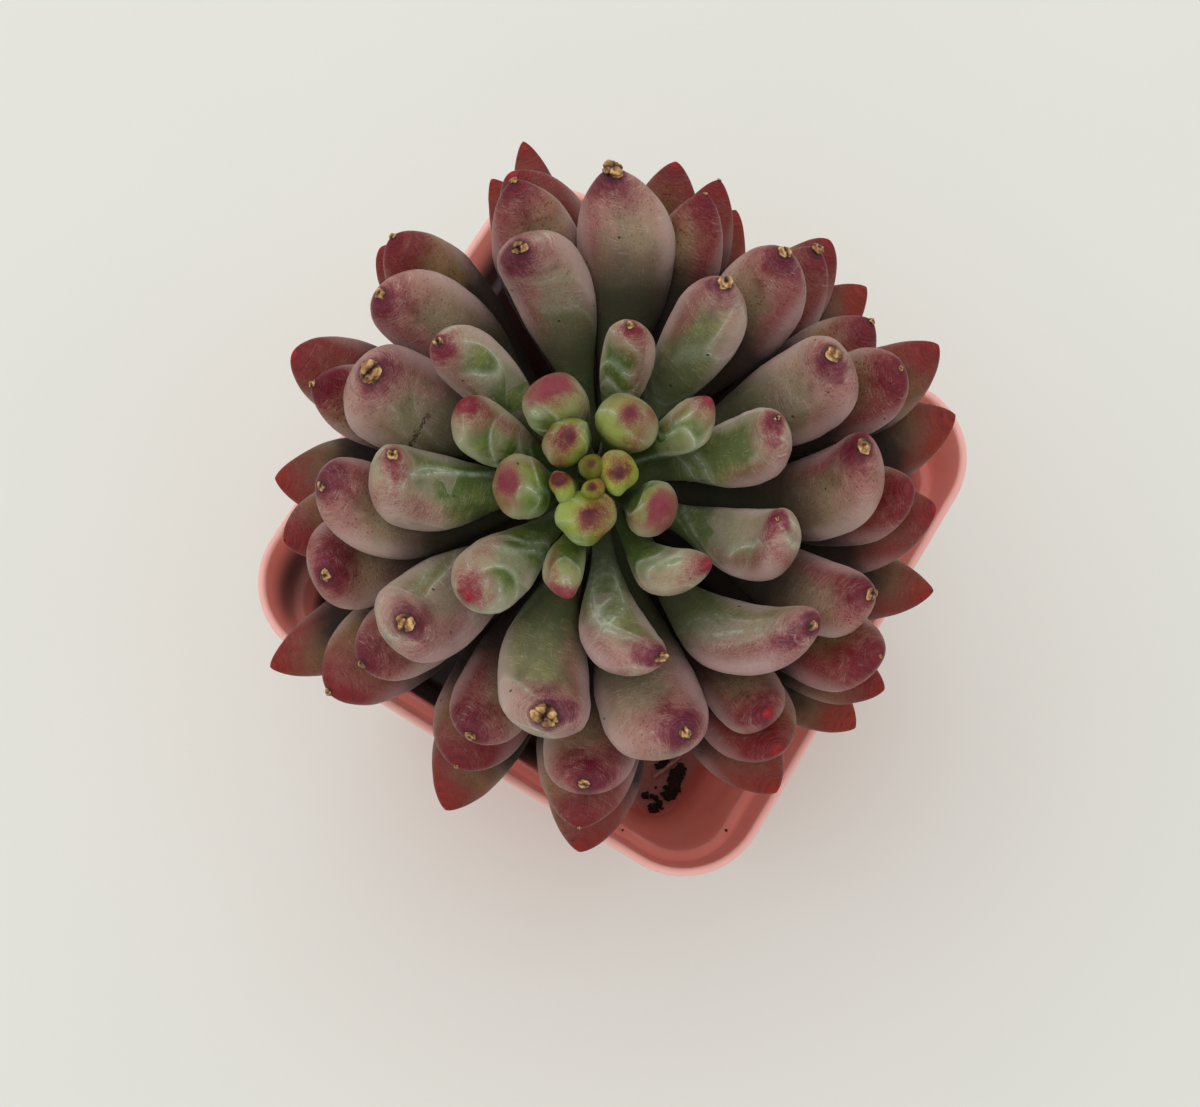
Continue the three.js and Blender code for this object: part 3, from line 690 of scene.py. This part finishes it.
def pot_plastic():
    """Salmon moulded plastic with scuffs, dust and soil stains towards the floor, painted shade
    inside and a painted highlight along the top of the rim.
    """
    s = Shade("pot plastic")
    level, inner, hidden = s.parts("form")
    place = s.place()
    cloud = s.noise(place, 0.06, 3)
    fine = s.noise(place, 2.2, 4, 0.65)
    pebble = s.noise(place, 9, 2)
    colour = s.mix(s.fade(cloud, 0.3, 0.7), srgb(220, 134, 124), srgb(228, 146, 136))
    colour = s.mix(s.fade(fine, 0.52, 0.75, 0, 0.25), colour, srgb(226, 150, 140))
    stains = s.mul(inner, s.fade(level, 0.5, 0), s.fade(s.add(cloud, s.mul(fine, 0.6)), 0.7, 1))
    colour = s.mix(s.mul(stains, 0.35), colour, srgb(120, 54, 46))
    # Painted shade inside, away from the open corner, and up to the ledge on the far side, where the
    # leaves shade the pot
    painted_shade = s.mul(s.fade(level, 0.82, 0.7), s.fade(s.add(hidden, s.mul(cloud, 0.4)), 0.7, 1.1))
    far = s.mul(s.fade(level, 0.975, 0.86), s.fade(hidden, 2, 2.3))
    painted_shade = s.mul(s.math("MAXIMUM", painted_shade, far), inner)
    colour = s.mix(s.mul(painted_shade, 0.96), colour, srgb(30, 20, 15))
    # Painted highlight: the top of the rim paler
    colour = s.mix(s.fade(level, 0.988, 0.999, 0, 0.42), colour, srgb(226, 180, 174))
    streak = s.noise(s.vector(s.mul(fine, 0.4), s.mul(cloud, 9), level), 8, 2)
    rough = s.add(0.42, s.mul(streak, 0.16))
    return s.finish(
        base_color=colour, roughness=rough, normal=s.bump(s.add(pebble, fine), 0.02, 0.5),
        subsurface_weight=s.fade(painted_shade, 0, 1, 0.5, 0), subsurface_scale=0.005,
        subsurface_radius=(1, 0.7, 0.65), specular_ior_level=0.4,
    )


def soil_earth():
    s = Shade("dark soil")
    place = s.place()
    coarse = s.noise(place, 0.9, 5, 0.7)
    fine = s.noise(place, 5, 4, 0.7)
    colour = s.ramp(
        s.add(s.mul(coarse, 0.6), s.mul(fine, 0.4)), (0.3, 24, 15, 12), (0.5, 54, 36, 28),
        (0.68, 92, 64, 48), (0.8, 128, 100, 78),
    )
    return s.finish(base_color=colour, roughness=0.92, normal=s.bump(fine, 0.3, 0.9))


def stem_bark():
    s = Shade("stem bark")
    place = s.place()
    flakes = s.noise(place, 1.1, 5, 0.7)
    fine = s.noise(place, 6, 3, 0.6)
    colour = s.ramp(
        s.add(s.mul(flakes, 0.7), s.mul(fine, 0.3)), (0.3, 66, 48, 36), (0.5, 120, 98, 76),
        (0.7, 160, 138, 110),
    )
    return s.finish(base_color=colour, roughness=0.85, normal=s.bump(s.add(flakes, fine), 0.3, 0.8))


def root_skin():
    s = Shade("root skin")
    fibres = s.noise(s.place(), 3, 4, 0.6)
    colour = s.mix(s.fade(fibres, 0.35, 0.65), srgb(196, 130, 112), srgb(236, 190, 172))
    return s.finish(base_color=colour, roughness=0.6, normal=s.bump(fibres, 0.1, 0.6))


def floor_paper():
    s = Shade("pale floor")
    cloud = s.noise(s.place(), 0.01, 2)
    colour = s.mix(cloud, srgb(207, 206, 199), srgb(212, 211, 205))
    return s.finish(base_color=colour, roughness=0.8, specular_ior_level=0.1)


# Rosette
photo_side = Matrix.Rotation(rad(PHOTO_TURN), 4, "Z")
crown = photo_side @ Vector((CROWN_SIDEWAYS, -CROWN_FORWARD, POT_HEIGHT + CROWN_ABOVE_RIM))
lean_direction = Vector((math.cos(rad(LEAN_TOWARD)), math.sin(rad(LEAN_TOWARD)), 0))
lean_axis = -lean_direction.cross(Vector((0, 0, 1))).normalized()
rosette_frame = Matrix.Translation(crown) @ photo_side @ Matrix.Rotation(rad(LEAN), 4, lean_axis)


class Leaf:
    """One leaf's measures, from its place in the rosette and the drop of its tip."""

    def __init__(self, order, tip_drop):
        azimuth, seen_reach, *breadth = LEAF_PLACES[order]
        self.order = order
        self.age = order / (len(LEAF_PLACES) - 1)
        self.tip_drop = tip_drop
        away = seen_reach * (1 + tip_drop / VIEW_DISTANCE)
        tip_x = math.cos(rad(azimuth)) * away + SIGHT_SLOPE[0] * tip_drop
        tip_y = math.sin(rad(azimuth)) * away + SIGHT_SLOPE[1] * tip_drop
        grown = 1 - math.exp(-seen_reach / WIDTH_GAIN_REACH)
        self.width = (breadth[0] if breadth else 1) * lerp(BUD_WIDTH, LEAF_WIDTH, grown)
        thinned = self.age ** THINNING_POWER
        self.thickness = self.width * lerp(YOUNG_THICKNESS, OLD_THICKNESS, thinned)
        old = (self.age - BLUNT_UNTIL_AGE) / (POINTED_FROM_AGE - BLUNT_UNTIL_AGE)
        self.blunt = min(1, order / BLUNT_FROM_ORDER) * (1 - min(1, max(0, old)))
        self.turn = rad(TIP_TURNS.get(order, USUAL_TIP_TURN * self.blunt))
        sag = max(0, (self.age - SAG_AGE) / (1 - SAG_AGE))
        curl = lerp(YOUNG_CURL, FULL_CURL, min(1, order / FULL_CURL_ORDER))
        self.curl = rad(curl - SAG_CURL_LOSS * sag)
        self.azimuth = math.atan2(tip_y, tip_x)
        self.reach = math.hypot(tip_x, tip_y) + TIP_OVERHANG * self.blunt * self.thickness
        beside = shift_at(PILE_TEST_AT, order, 1)
        self.body_azimuth = self.azimuth + beside / (PILE_TEST_AT * self.reach)
        self.seat = STEM_RADIUS * (1 - math.exp(-(order + 0.5) / SEAT_SPREAD_ORDERS))
        self.seat_drop = lerp(FIRST_SEAT_DROP, LAST_SEAT_DROP, self.age ** SEAT_DROP_POWER)

    def level_at(self, radius):
        return lerp(self.seat_drop, self.tip_drop, (radius - self.seat) / (self.reach - self.seat))


def extra_drop(leaf, upper):
    radius = PILE_TEST_AT * min(leaf.reach, upper.reach)
    apart = 2 * radius * abs(math.sin((leaf.body_azimuth - upper.body_azimuth) / 2))
    width = (leaf.width + upper.width) / 2
    if apart >= width or radius < LEAF_WIDTH:
        return 0
    stacked = 0.5 * (leaf.thickness + upper.thickness) * math.sqrt(1 - (apart / width) ** 2)
    short = upper.level_at(radius) + PILE_PRESS * stacked - leaf.level_at(radius)
    return max(0, short) * (leaf.reach - leaf.seat) / (radius - leaf.seat)


def stack_leaves():
    pile = []
    for order in range(len(LEAF_PLACES)):
        leaf = Leaf(order, TIP_DROP * (order / (len(LEAF_PLACES) - 1)) ** TIP_DROP_POWER)
        for upper in pile:
            leaf = Leaf(order, leaf.tip_drop + extra_drop(leaf, upper))
        pile.append(leaf)
    return pile


def midline(leaf, seat, along):
    """Centre and heading of the leaf in its own upright plane, for many shares of its length."""
    start = np.array([seat, -leaf.seat_drop])
    end = np.array([leaf.reach, -leaf.tip_drop])
    chord = end - start
    root_heading = math.atan2(chord[1], chord[0]) - leaf.curl
    arm = np.linalg.norm(chord) / 2 / math.cos(leaf.curl)
    bend = start + arm * np.array([math.cos(root_heading), math.sin(root_heading)])
    steps = np.linspace(0, 1, PATH_STEPS)
    t = steps[:, None]
    speed = 2 * (1 - t) * (bend - start) + 2 * t * (end - bend)
    lift = TIP_LIFT * leaf.blunt * leaf.thickness
    last_heading = speed[-1] / np.linalg.norm(speed[-1])
    pole = end + lift * np.array([-last_heading[1], last_heading[0]])
    # The end turns up, and the whole line is then fitted between the seat and the tip again
    turn = leaf.turn * smoother((steps - TURN_FROM) / (1 - TURN_FROM))
    angle = np.arctan2(speed[:, 1], speed[:, 0]) + turn
    pace = np.linalg.norm(speed, axis=1) * np.exp(1j * angle)
    path = np.concatenate([[0], np.cumsum((pace[1:] + pace[:-1]) / 2)]) / (PATH_STEPS - 1)
    fit = complex(*(pole - start)) / path[-1]
    line = complex(*start) + fit * path
    centre = np.interp(along, steps, line.real) + 1j * np.interp(along, steps, line.imag)
    heading = np.interp(along, steps, np.unwrap(np.angle(fit * pace)))
    return centre, heading


def half_width(along, blunt):
    body = lerp(NECK_WIDTH, 1, smoother((along - NECK_START) / (BELLY_AT - NECK_START)))
    past = np.clip((along - BELLY_AT) / (1 - BELLY_AT), 0, 1)
    inner, outer = [lerp(low, high, blunt) for low, high in zip(POINTED_CLOSING, BLUNT_CLOSING)]
    closing = (1 - past ** inner) ** outer
    root = np.clip(along / ROOT_ROUNDING, 0, 1)
    return body * closing * np.sqrt(root * (2 - root))


def shift_at(along, order, half):
    """Sideways shift of the blade's middle in millimetres, at shares of its length and width."""
    return BOWS.get(order, 0) * np.sin(math.pi * along) + SIDES.get(order, 0) * half


def relief(points, scale, shift):
    shift = Vector((shift, 0, 0))
    return np.array([noise.noise(Vector(point) * scale + shift) for point in points])


def blush_values(leaf, chance):
    """Redness of the tip, the margin that the blush runs down, and its reach in millimetres."""
    reach = np.interp(leaf.age, *BLUSH_BY_AGE) * chance.uniform(0.85, 1.15)
    usual_redness = OLD_REDNESS * chance.random() if leaf.age > OLD_AGE else 0
    side = chance.choice([-1, 1]) * chance.uniform(0.4, 1)
    return [RED_TIPS.get(leaf.order, usual_redness), side, reach * min(1, leaf.order / 2)]


def leaf_patch(leaf, seat, chance):
    """A leaf's closed skin, with the fields that its material reads."""
    steps = np.linspace(0, 1, LEAF_RINGS + 2)[1:-1]
    along = np.concatenate([[0], np.repeat(1 - (1 - steps) ** 2, LEAF_SIDES), [1]])
    turn = np.concatenate([[0], np.tile(circle(LEAF_SIDES), LEAF_RINGS), [0]])
    half = half_width(along, leaf.blunt * SLENDER_LEAVES.get(leaf.order, 1))
    centre, heading = midline(leaf, seat, along)
    seed = chance.random()
    shape = np.column_stack([np.sin(turn) * half, np.cos(turn) * half, along * 3])
    swell = 1 + LEAF_RELIEF * relief(shape, 1.7, 20 * seed)
    swell += LEAF_RELIEF / 2 * relief(shape, 4.5, 40 * seed)
    creases = [relief(shape, scale, 60 * seed) for scale in (0.75, 0.6)]
    dent = lerp(*CREASE_DEPTHS, min(1, leaf.age / CREASE_FADE_AGE))
    swell -= dent * sum(np.maximum(crease, 0) for crease in creases)
    blade = np.sin(turn) * half * swell * leaf.width / 2
    side = blade + shift_at(along, leaf.order, half)
    up = np.cos(turn) * half * swell * leaf.thickness / 2
    section = centre + 1j * up * np.exp(1j * heading)
    cos, sin = math.cos(leaf.azimuth), math.sin(leaf.azimuth)
    points = np.column_stack([
        section.real * cos - side * sin, section.real * sin + side * cos, section.imag,
    ])
    from_tip = (1 - along) * abs(centre[-1] - centre[0])
    scar = from_tip - SCARS.get(leaf.order, NO_SCAR)
    count = len(points)
    fields = {
        "leaf": np.tile([leaf.age, seed, CRUST_WIDTHS.get(leaf.order, 0) / 2], (count, 1)),
        "form": np.column_stack([along, np.sin(turn) * half, np.cos(turn) * half]),
        "skin": np.column_stack([from_tip, blade, np.linalg.norm(points - points[-1], axis=1)]),
        "tip": np.tile(blush_values(leaf, chance), (count, 1)),
        "crease": np.column_stack([*creases, scar]),
    }
    faces = outward(points, tube_faces(LEAF_RINGS, LEAF_SIDES))
    return Patch(points, faces, 0, **fields)


def tip_directions(skin):
    """Two directions across the tip of a leaf and the one that points out of it."""
    pole = skin.points[-1]
    ring = skin.points[-1 - LEAF_SIDES * 4:-1 - LEAF_SIDES * 3] - pole
    normal = sum(np.cross(a, b) for a, b in zip(ring, np.roll(ring, -1, axis=0)))
    normal /= np.linalg.norm(normal)
    if np.dot(normal, pole - skin.points[:-1].mean(axis=0)) < 0:
        normal = -normal
    first = np.cross(normal, (0, 0, 1))
    first /= np.linalg.norm(first)
    return np.array([first, np.cross(normal, first), normal])


def crust_patch(skin, width, lobes, chance):
    """A knob of dry tissue in the tip: lobed, sunken in the middle and split between the lobes."""
    rings, sides = CRUST_MESH if width > SMALL_CRUST else SMALL_CRUST_MESH
    start = chance.uniform(0, 2 * math.pi)
    shift = chance.uniform(0, 50)
    steps = np.linspace(0, math.pi, rings + 2)[1:-1]
    slope = np.concatenate([[0], np.repeat(steps, sides), [math.pi]])
    turn = np.concatenate([[0], np.tile(circle(sides), rings), [0]])
    out = np.sin(slope)
    bent = turn + 0.35 * np.sin(2 * turn + shift)
    split = np.abs(np.sin(lobes / 2 * (bent - start)))
    ball = np.column_stack([out * np.cos(turn), out * np.sin(turn), np.cos(slope)])
    coarse = relief(ball, 1.4, shift)
    fine = relief(ball, 4.2, shift)
    groove = np.exp(-(split / CREVICE_WIDTH) ** 2) * np.clip(out * 2.5, 0, 1)
    pit = np.exp(-(out / CREVICE_WIDTH) ** 2) * (slope < math.pi / 2)
    spread = 1 + 0.3 * coarse + 0.12 * fine - 0.22 * groove
    rise = 1 + 0.4 * coarse - CRUST_GROOVE * groove - CRUST_PIT * pit
    height = np.cos(slope) * rise + 0.1 * fine
    flat = np.array([chance.uniform(0.85, 1.1), chance.uniform(0.75, 1), CRUST_HEIGHT])
    local = np.column_stack([ball[:, 0] * spread, ball[:, 1] * spread, height]) * flat
    local *= width / 2
    # Colour level for the crust's material: painted shade in the grooves, the pit and the underside,
    # painted highlight on the bumps
    level = 0.66 + 0.7 * coarse + 0.35 * fine - 0.6 * groove - 0.6 * pit - 0.5 * (slope > 1.5)
    form = np.column_stack([level, np.full(len(local), chance.random()), np.zeros(len(local))])
    faces = outward(local, tube_faces(rings, sides))
    return Patch(local @ tip_directions(skin) + skin.points[-1], faces, 1, form=form)


def leaf_patches(leaf, seat):
    chance = random.Random(SEED + leaf.order)
    skin = leaf_patch(leaf, seat, chance)
    width = CRUST_WIDTHS.get(leaf.order, 0)
    if not width:
        return [skin]
    lobes = CRUST_LOBES.get(leaf.order, chance.choice((1, 1, 2)))
    return [skin, crust_patch(skin, width, lobes, chance)]


def make_leaves():
    materials = [leaf_skin(), crust_bark()]
    leaves = stack_leaves()
    heart = []
    for leaf in leaves[:HEART_LEAVES]:
        heart += leaf_patches(leaf, HEART_SEAT_SHARE * leaf.seat)
    sunk = rosette_frame @ Matrix.Translation((0, 0, -HEART_SINK))
    make_piece("heart_leaves", heart, materials, "heart", sunk)
    for index, leaf in enumerate(leaves[HEART_LEAVES:], 1):
        node = f"leaf_{index:02d}"
        patches = leaf_patches(leaf, leaf.seat - ROOT_SINK)
        make_piece(f"{node}_skin", patches, materials, node, rosette_frame)


# Pot
def square_ring(half, corner, z):
    """Points round a square with rounded corners."""
    flat = half - corner
    ring = []
    for quarter in range(4):
        centre = Matrix.Rotation(quarter * math.pi / 2, 2) @ Vector((flat, flat))
        for step in range(CORNER_STEPS + 1):
            angle = (quarter + step / CORNER_STEPS) * math.pi / 2
            x = centre.x + corner * math.cos(angle)
            ring.append((x, centre.y + corner * math.sin(angle), z))
        start = Vector(ring[-1])
        spin = Matrix.Rotation((quarter + 1) * math.pi / 2, 3, "Z")
        end = spin @ Vector((flat + corner, flat, z))
        ring += [tuple(start.lerp(end, step / FLAT_STEPS)) for step in range(1, FLAT_STEPS)]
    return ring


def body_half(z):
    """Half a side and the corner radius of the pot's outside under the ledge."""
    rise = z / LEDGE_Z
    top = COLLAR_DRAFT + LEDGE_WIDTH
    return lerp(BASE_HALF, RIM_HALF - top, rise), lerp(BASE_CORNER, RIM_CORNER - top, rise)


def collar_half(z):
    rise = (z - LEDGE_Z) / (POT_HEIGHT - LEDGE_Z)
    draft = COLLAR_DRAFT * (1 - rise)
    return RIM_HALF - draft, RIM_CORNER - draft


def pot_section():
    """Each ring's inset, height and outside, from under the floor, over the rim, to the floor."""
    # The fractions of a millimetre are the rounded edges
    outside = [(BASE_HALF - FLOOR_RING_INSET, 0), (3, 0), (0.7, 0), (0.2, 0.2)]
    outside += [(0, z) for z in np.linspace(0.8, LEDGE_Z - WALL - 0.2, 14)]
    collar = [(0.15, LEDGE_Z - WALL), (0, LEDGE_Z - WALL + 0.3)]
    collar += [(0, z) for z in np.linspace(LEDGE_Z, POT_HEIGHT - 0.5, 6)]
    collar += [(0.1, POT_HEIGHT - 0.15), (0.35, POT_HEIGHT)]
    collar += [(WALL - 0.3, POT_HEIGHT), (WALL - 0.05, POT_HEIGHT - 0.2)]
    collar += [(WALL, z) for z in np.linspace(POT_HEIGHT - 0.6, LEDGE_Z + 0.5, 7)]
    collar += [(WALL + 0.15, LEDGE_Z + 0.15), (WALL + 0.5, LEDGE_Z)]
    inside = [(WALL - 0.35, LEDGE_Z), (WALL - 0.08, LEDGE_Z - 0.12)]
    inside += [(WALL, z) for z in np.linspace(LEDGE_Z - 0.5, FLOOR_THICKNESS + 1.4, 14)]
    inside += [(WALL + 0.3, FLOOR_THICKNESS + 0.4), (WALL + 1.2, FLOOR_THICKNESS)]
    inside += [(4, FLOOR_THICKNESS), (BASE_HALF - FLOOR_RING_INSET, FLOOR_THICKNESS)]
    runs = [(outside, body_half), (collar, collar_half), (inside, body_half)]
    return [(inset, z, rule) for run, rule in runs for inset, z in run]


def make_pot(material):
    section = pot_section()
    points = [(0, 0, 0)]
    for inset, z, rule in section:
        half, corner = rule(z)
        points += square_ring(half - inset, max(corner - inset, 0.8), z)
    points.append((0, 0, FLOOR_THICKNESS))
    points = np.array(points)
    sides = 4 * (CORNER_STEPS + FLAT_STEPS)
    level = points[:, 2] / POT_HEIGHT
    wave = WALL_WAVE * relief(points, 0.06, 3)
    wave *= np.clip(2 * level, 0, 1) * np.clip(4 * (1 - level), 0, 1)
    across = points[:, :2] / np.maximum(np.linalg.norm(points[:, :2], axis=1), 1)[:, None]
    points[:, :2] += across * wave[:, None]
    rim = next(i for i, (_, z, _) in enumerate(section) if z == POT_HEIGHT)
    inner = (np.arange(len(points)) > rim * sides).astype(float)
    # Distance from the open corner, by which the pot's inside is painted with shade
    hidden = np.linalg.norm(points[:, :2] - OPEN_CORNER, axis=1) / OPEN_WIDTH
    form = np.column_stack([level, inner, hidden])
    faces = outward(points, tube_faces(len(section), sides))
    pot = make_piece("pot_shell", [Patch(points, faces, form=form)], [material], "pot")
    drill_drains(pot)
    carry_form(pot, points, form)


def carry_form(piece, points, form):
    """Gives the cut piece the field that its nearest points had before."""
    tree = kdtree.KDTree(len(points))
    for index, point in enumerate(points):
        tree.insert(point * MM, index)
    tree.balance()
    nearest = [tree.find(vertex.co)[1] for vertex in piece.data.vertices]
    values = form[nearest].astype(np.float32)
    piece.data.attributes["form"].data.foreach_set("vector", values.ravel())


def drill_drains(pot):
    bm = bmesh.new()
    for quarter in range(4):
        spin = Matrix.Rotation(quarter * math.pi / 2, 4, "Z")
        bmesh.ops.create_cone(
            bm, cap_ends=True, segments=DRAIN_SIDES, depth=DRILL_LENGTH * MM,
            radius1=DRAIN_RADIUS * MM, radius2=DRAIN_RADIUS * MM,
            matrix=spin @ Matrix.Translation((DRAIN_OFFSET * MM, 0, 0)),
        )
    mesh = bpy.data.meshes.new("drain drill")
    bm.to_mesh(mesh)
    bm.free()
    drill = link("drain drill", mesh)
    cut = pot.modifiers.new("drains", "BOOLEAN")
    cut.operation = "DIFFERENCE"
    cut.object = drill
    apply_modifiers(pot)
    bpy.data.objects.remove(drill)


def apply_modifiers(piece):
    evaluated = piece.evaluated_get(bpy.context.evaluated_depsgraph_get())
    piece.data = bpy.data.meshes.new_from_object(evaluated)
    piece.modifiers.clear()


# Soil, roots and stem
def crumb_patch(shape, spot, size, chance):
    points, faces = shape
    angle = chance.uniform(0, 6)
    axis = Vector((chance.random(), chance.random(), 1))
    turn = np.array(Matrix.Rotation(angle, 3, axis))
    stretch = np.array([chance.uniform(0.6, 1.3), chance.uniform(0.6, 1), chance.uniform(0.5, 0.9)])
    lumps = 1 + CRUMB_LUMPS * relief(points, 1.6, chance.uniform(0, 50))
    return Patch((points * lumps[:, None] * stretch) @ turn.T * size / 2 + spot, faces)


def clod_patch():
    profile = np.array(CLOD_PROFILE, float)
    lengths = np.concatenate([[0], np.cumsum(np.linalg.norm(np.diff(profile, axis=0), axis=1))])
    steps = np.linspace(0, lengths[-1], CLOD_RINGS + 2)[1:-1]
    radius = np.interp(steps, lengths, profile[:, 0])
    height = np.interp(steps, lengths, profile[:, 1])
    radius = np.repeat(radius, CLOD_SIDES)
    z = np.repeat(height, CLOD_SIDES)
    turn = np.tile(circle(CLOD_SIDES), CLOD_RINGS)
    lump = 1 + CLOD_BULGE * (np.sin(3 * turn + 0.2 * z) + np.cos(5 * turn - 0.3 * z))
    points = np.column_stack([radius * lump * np.cos(turn), radius * lump * np.sin(turn), z])
    points = np.vstack([[0, 0, 0], points, [0, 0, profile[-1, 1]]])
    rough = 0.9 * relief(points, 0.35, 5) + 0.55 * relief(points, 1.1, 9) - 0.4
    middle = np.array([0, 0, CLOD_HEIGHT / 2])
    away = points - middle
    away /= np.linalg.norm(away, axis=1)[:, None]
    points += away * rough[:, None]
    points[:, 2] = np.maximum(points[:, 2], 0) + FLOOR_THICKNESS + GAP
    return Patch(points, outward(points, tube_faces(CLOD_RINGS, CLOD_SIDES)))


def make_soil(material):
    chance = random.Random(SEED)
    crumb = unit_ball(2)
    patches = [clod_patch()]
    top = FLOOR_THICKNESS + GAP + CLOD_HEIGHT
    for _ in range(TOP_CRUMBS):
        angle = chance.uniform(0, 2 * math.pi)
        radius = lerp(*TOP_CRUMB_RADII, math.sqrt(chance.random()))
        spot = (radius * math.cos(angle), radius * math.sin(angle), top - 0.4 - 0.05 * radius)
        patches.append(crumb_patch(crumb, spot, chance.uniform(*TOP_CRUMB_SIZES), chance))
    for first, last, spread, count in FLOOR_CRUMBS:
        for _ in range(count):
            size = chance.uniform(*CRUMB_SIZES)
            x, y = np.array(first) + chance.random() * (np.array(last) - first)
            x += chance.gauss(0, spread)
            y += chance.gauss(0, spread)
            spot = (x, y, FLOOR_THICKNESS + 0.3 * size)
            patches.append(crumb_patch(crumb, spot, size, chance))
    for x, y in LEDGE_GRAINS:
        patches.append(crumb_patch(crumb, (x, y, LEDGE_Z + 0.2), GRAIN_SIZE, chance))
    path = [Vector((*point, FLOOR_THICKNESS + ROOT_HEIGHT)) for point in ROOT_POINTS]
    line = smooth_path(path, ROOT_RINGS)
    patches.append(tube_patch(line, [ROOT_RADIUS] * ROOT_RINGS, ROOT_SIDES, *ROOT_BARK, 1))
    make_piece("soil_clod", patches, [material, root_skin()], "soil")


def below_crown(drop):
    return rosette_frame @ Vector((0, 0, -drop))


def smooth_path(stops, count):
    """Points on a smooth line through all the stops."""
    stops = [2 * stops[0] - stops[1], *stops, 2 * stops[-1] - stops[-2]]
    spans = len(stops) - 3
    path = []
    for step in range(count):
        place = step / (count - 1) * spans
        span = min(spans - 1, int(place))
        t = place - span
        a, b, c, d = stops[span:span + 4]
        path.append(0.5 * ((2 * b) + (c - a) * t + (2 * a - 5 * b + 4 * c - d) * t ** 2
                           + (3 * b - a - 3 * c + d) * t ** 3))
    return path


def stem_path(count):
    foot = below_crown(STEM_FOOT_DROP)
    foot.z = FLOOR_THICKNESS + 2 * GAP + CLOD_HEIGHT - STEM_SOCKET_DEPTH
    stops = [foot, foot + Vector((0, 0, STEM_SOCKET_DEPTH)), below_crown(STEM_NECK_DROP)]
    stops.append(below_crown(STEM_TOP_DROP + GAP))
    return smooth_path(stops, count)


def tube_patch(path, radii, sides, rough, scale, material=0):
    """A closed tube along a path, rough by some millimetres at a noise's scale."""
    points = [path[0]]
    spin = Vector((1, 0, 0))
    turns = circle(sides)
    for index, centre in enumerate(path):
        heading = (path[min(index + 1, len(path) - 1)] - path[max(index - 1, 0)]).normalized()
        spin = (spin - heading * spin.dot(heading)).normalized()
        across = heading.cross(spin)
        for turn in turns:
            radial = spin * math.cos(turn) + across * math.sin(turn)
            bark = rough * (noise.noise((centre + radial * radii[index]) * scale) - 0.5)
            points.append(centre + radial * (radii[index] + bark))
    points.append(path[-1])
    points = np.array(points)
    return Patch(points, outward(points, tube_faces(len(path), sides)), material)


def make_stem(material):
    middle = STEM_RADIUS - STEM_SLACK
    radii = [middle + STEM_WAVE * math.sin(0.9 * ring) for ring in range(STEM_RINGS)]
    stem = tube_patch(stem_path(STEM_RINGS), radii, STEM_SIDES, *STEM_BARK)
    make_piece("stem_bark", [stem], [material], "stem")


# Stage
def make_floor():
    mesh = bpy.data.meshes.new("floor")
    signs = [(-1, -1), (1, -1), (1, 1), (-1, 1)]
    corners = [(x * STAGE_HALF, y * STAGE_HALF, 0) for x, y in signs]
    mesh.from_pydata(corners, [], [(0, 1, 2, 3)])
    mesh.materials.append(floor_paper())
    floor = link("floor", mesh)


def make_lights():
    world = bpy.data.worlds.new("soft room")
    world.use_nodes = True
    background = world.node_tree.nodes["Background"]
    background.inputs["Color"].default_value = ROOM_COLOUR
    background.inputs["Strength"].default_value = ROOM_STRENGTH
    bpy.context.scene.world = world
    light = bpy.data.lights.new("soft box", "AREA")
    light.shape = "DISK"
    light.size = SOFT_BOX_SIZE
    light.energy = SOFT_BOX_ENERGY
    light.color = SOFT_BOX_COLOUR
    aim = Vector(SOFT_BOX_AIM).to_track_quat("Z", "Y").to_matrix().to_4x4()
    box = link("soft box", light)
    box.matrix_world = photo_side @ Matrix.Translation(SOFT_BOX_PLACE) @ aim


def make_camera():
    data = bpy.data.cameras.new("photo camera")
    data.lens = LENS
    data.sensor_width = SENSOR_WIDTH
    data.clip_start = NEAR_CLIP
    camera = link("photo camera", data)
    place = Matrix.Translation(Vector(CAMERA_PLACE) * MM)
    camera.matrix_world = photo_side @ place @ Matrix.Rotation(rad(CAMERA_TILT), 4, "X")
    bpy.context.scene.camera = camera


make_camera()
make_lights()
make_floor()
make_pot(pot_plastic())
make_soil(soil_earth())
make_stem(stem_bark())
make_leaves()
bpy.context.scene.view_settings.view_transform = "Standard"
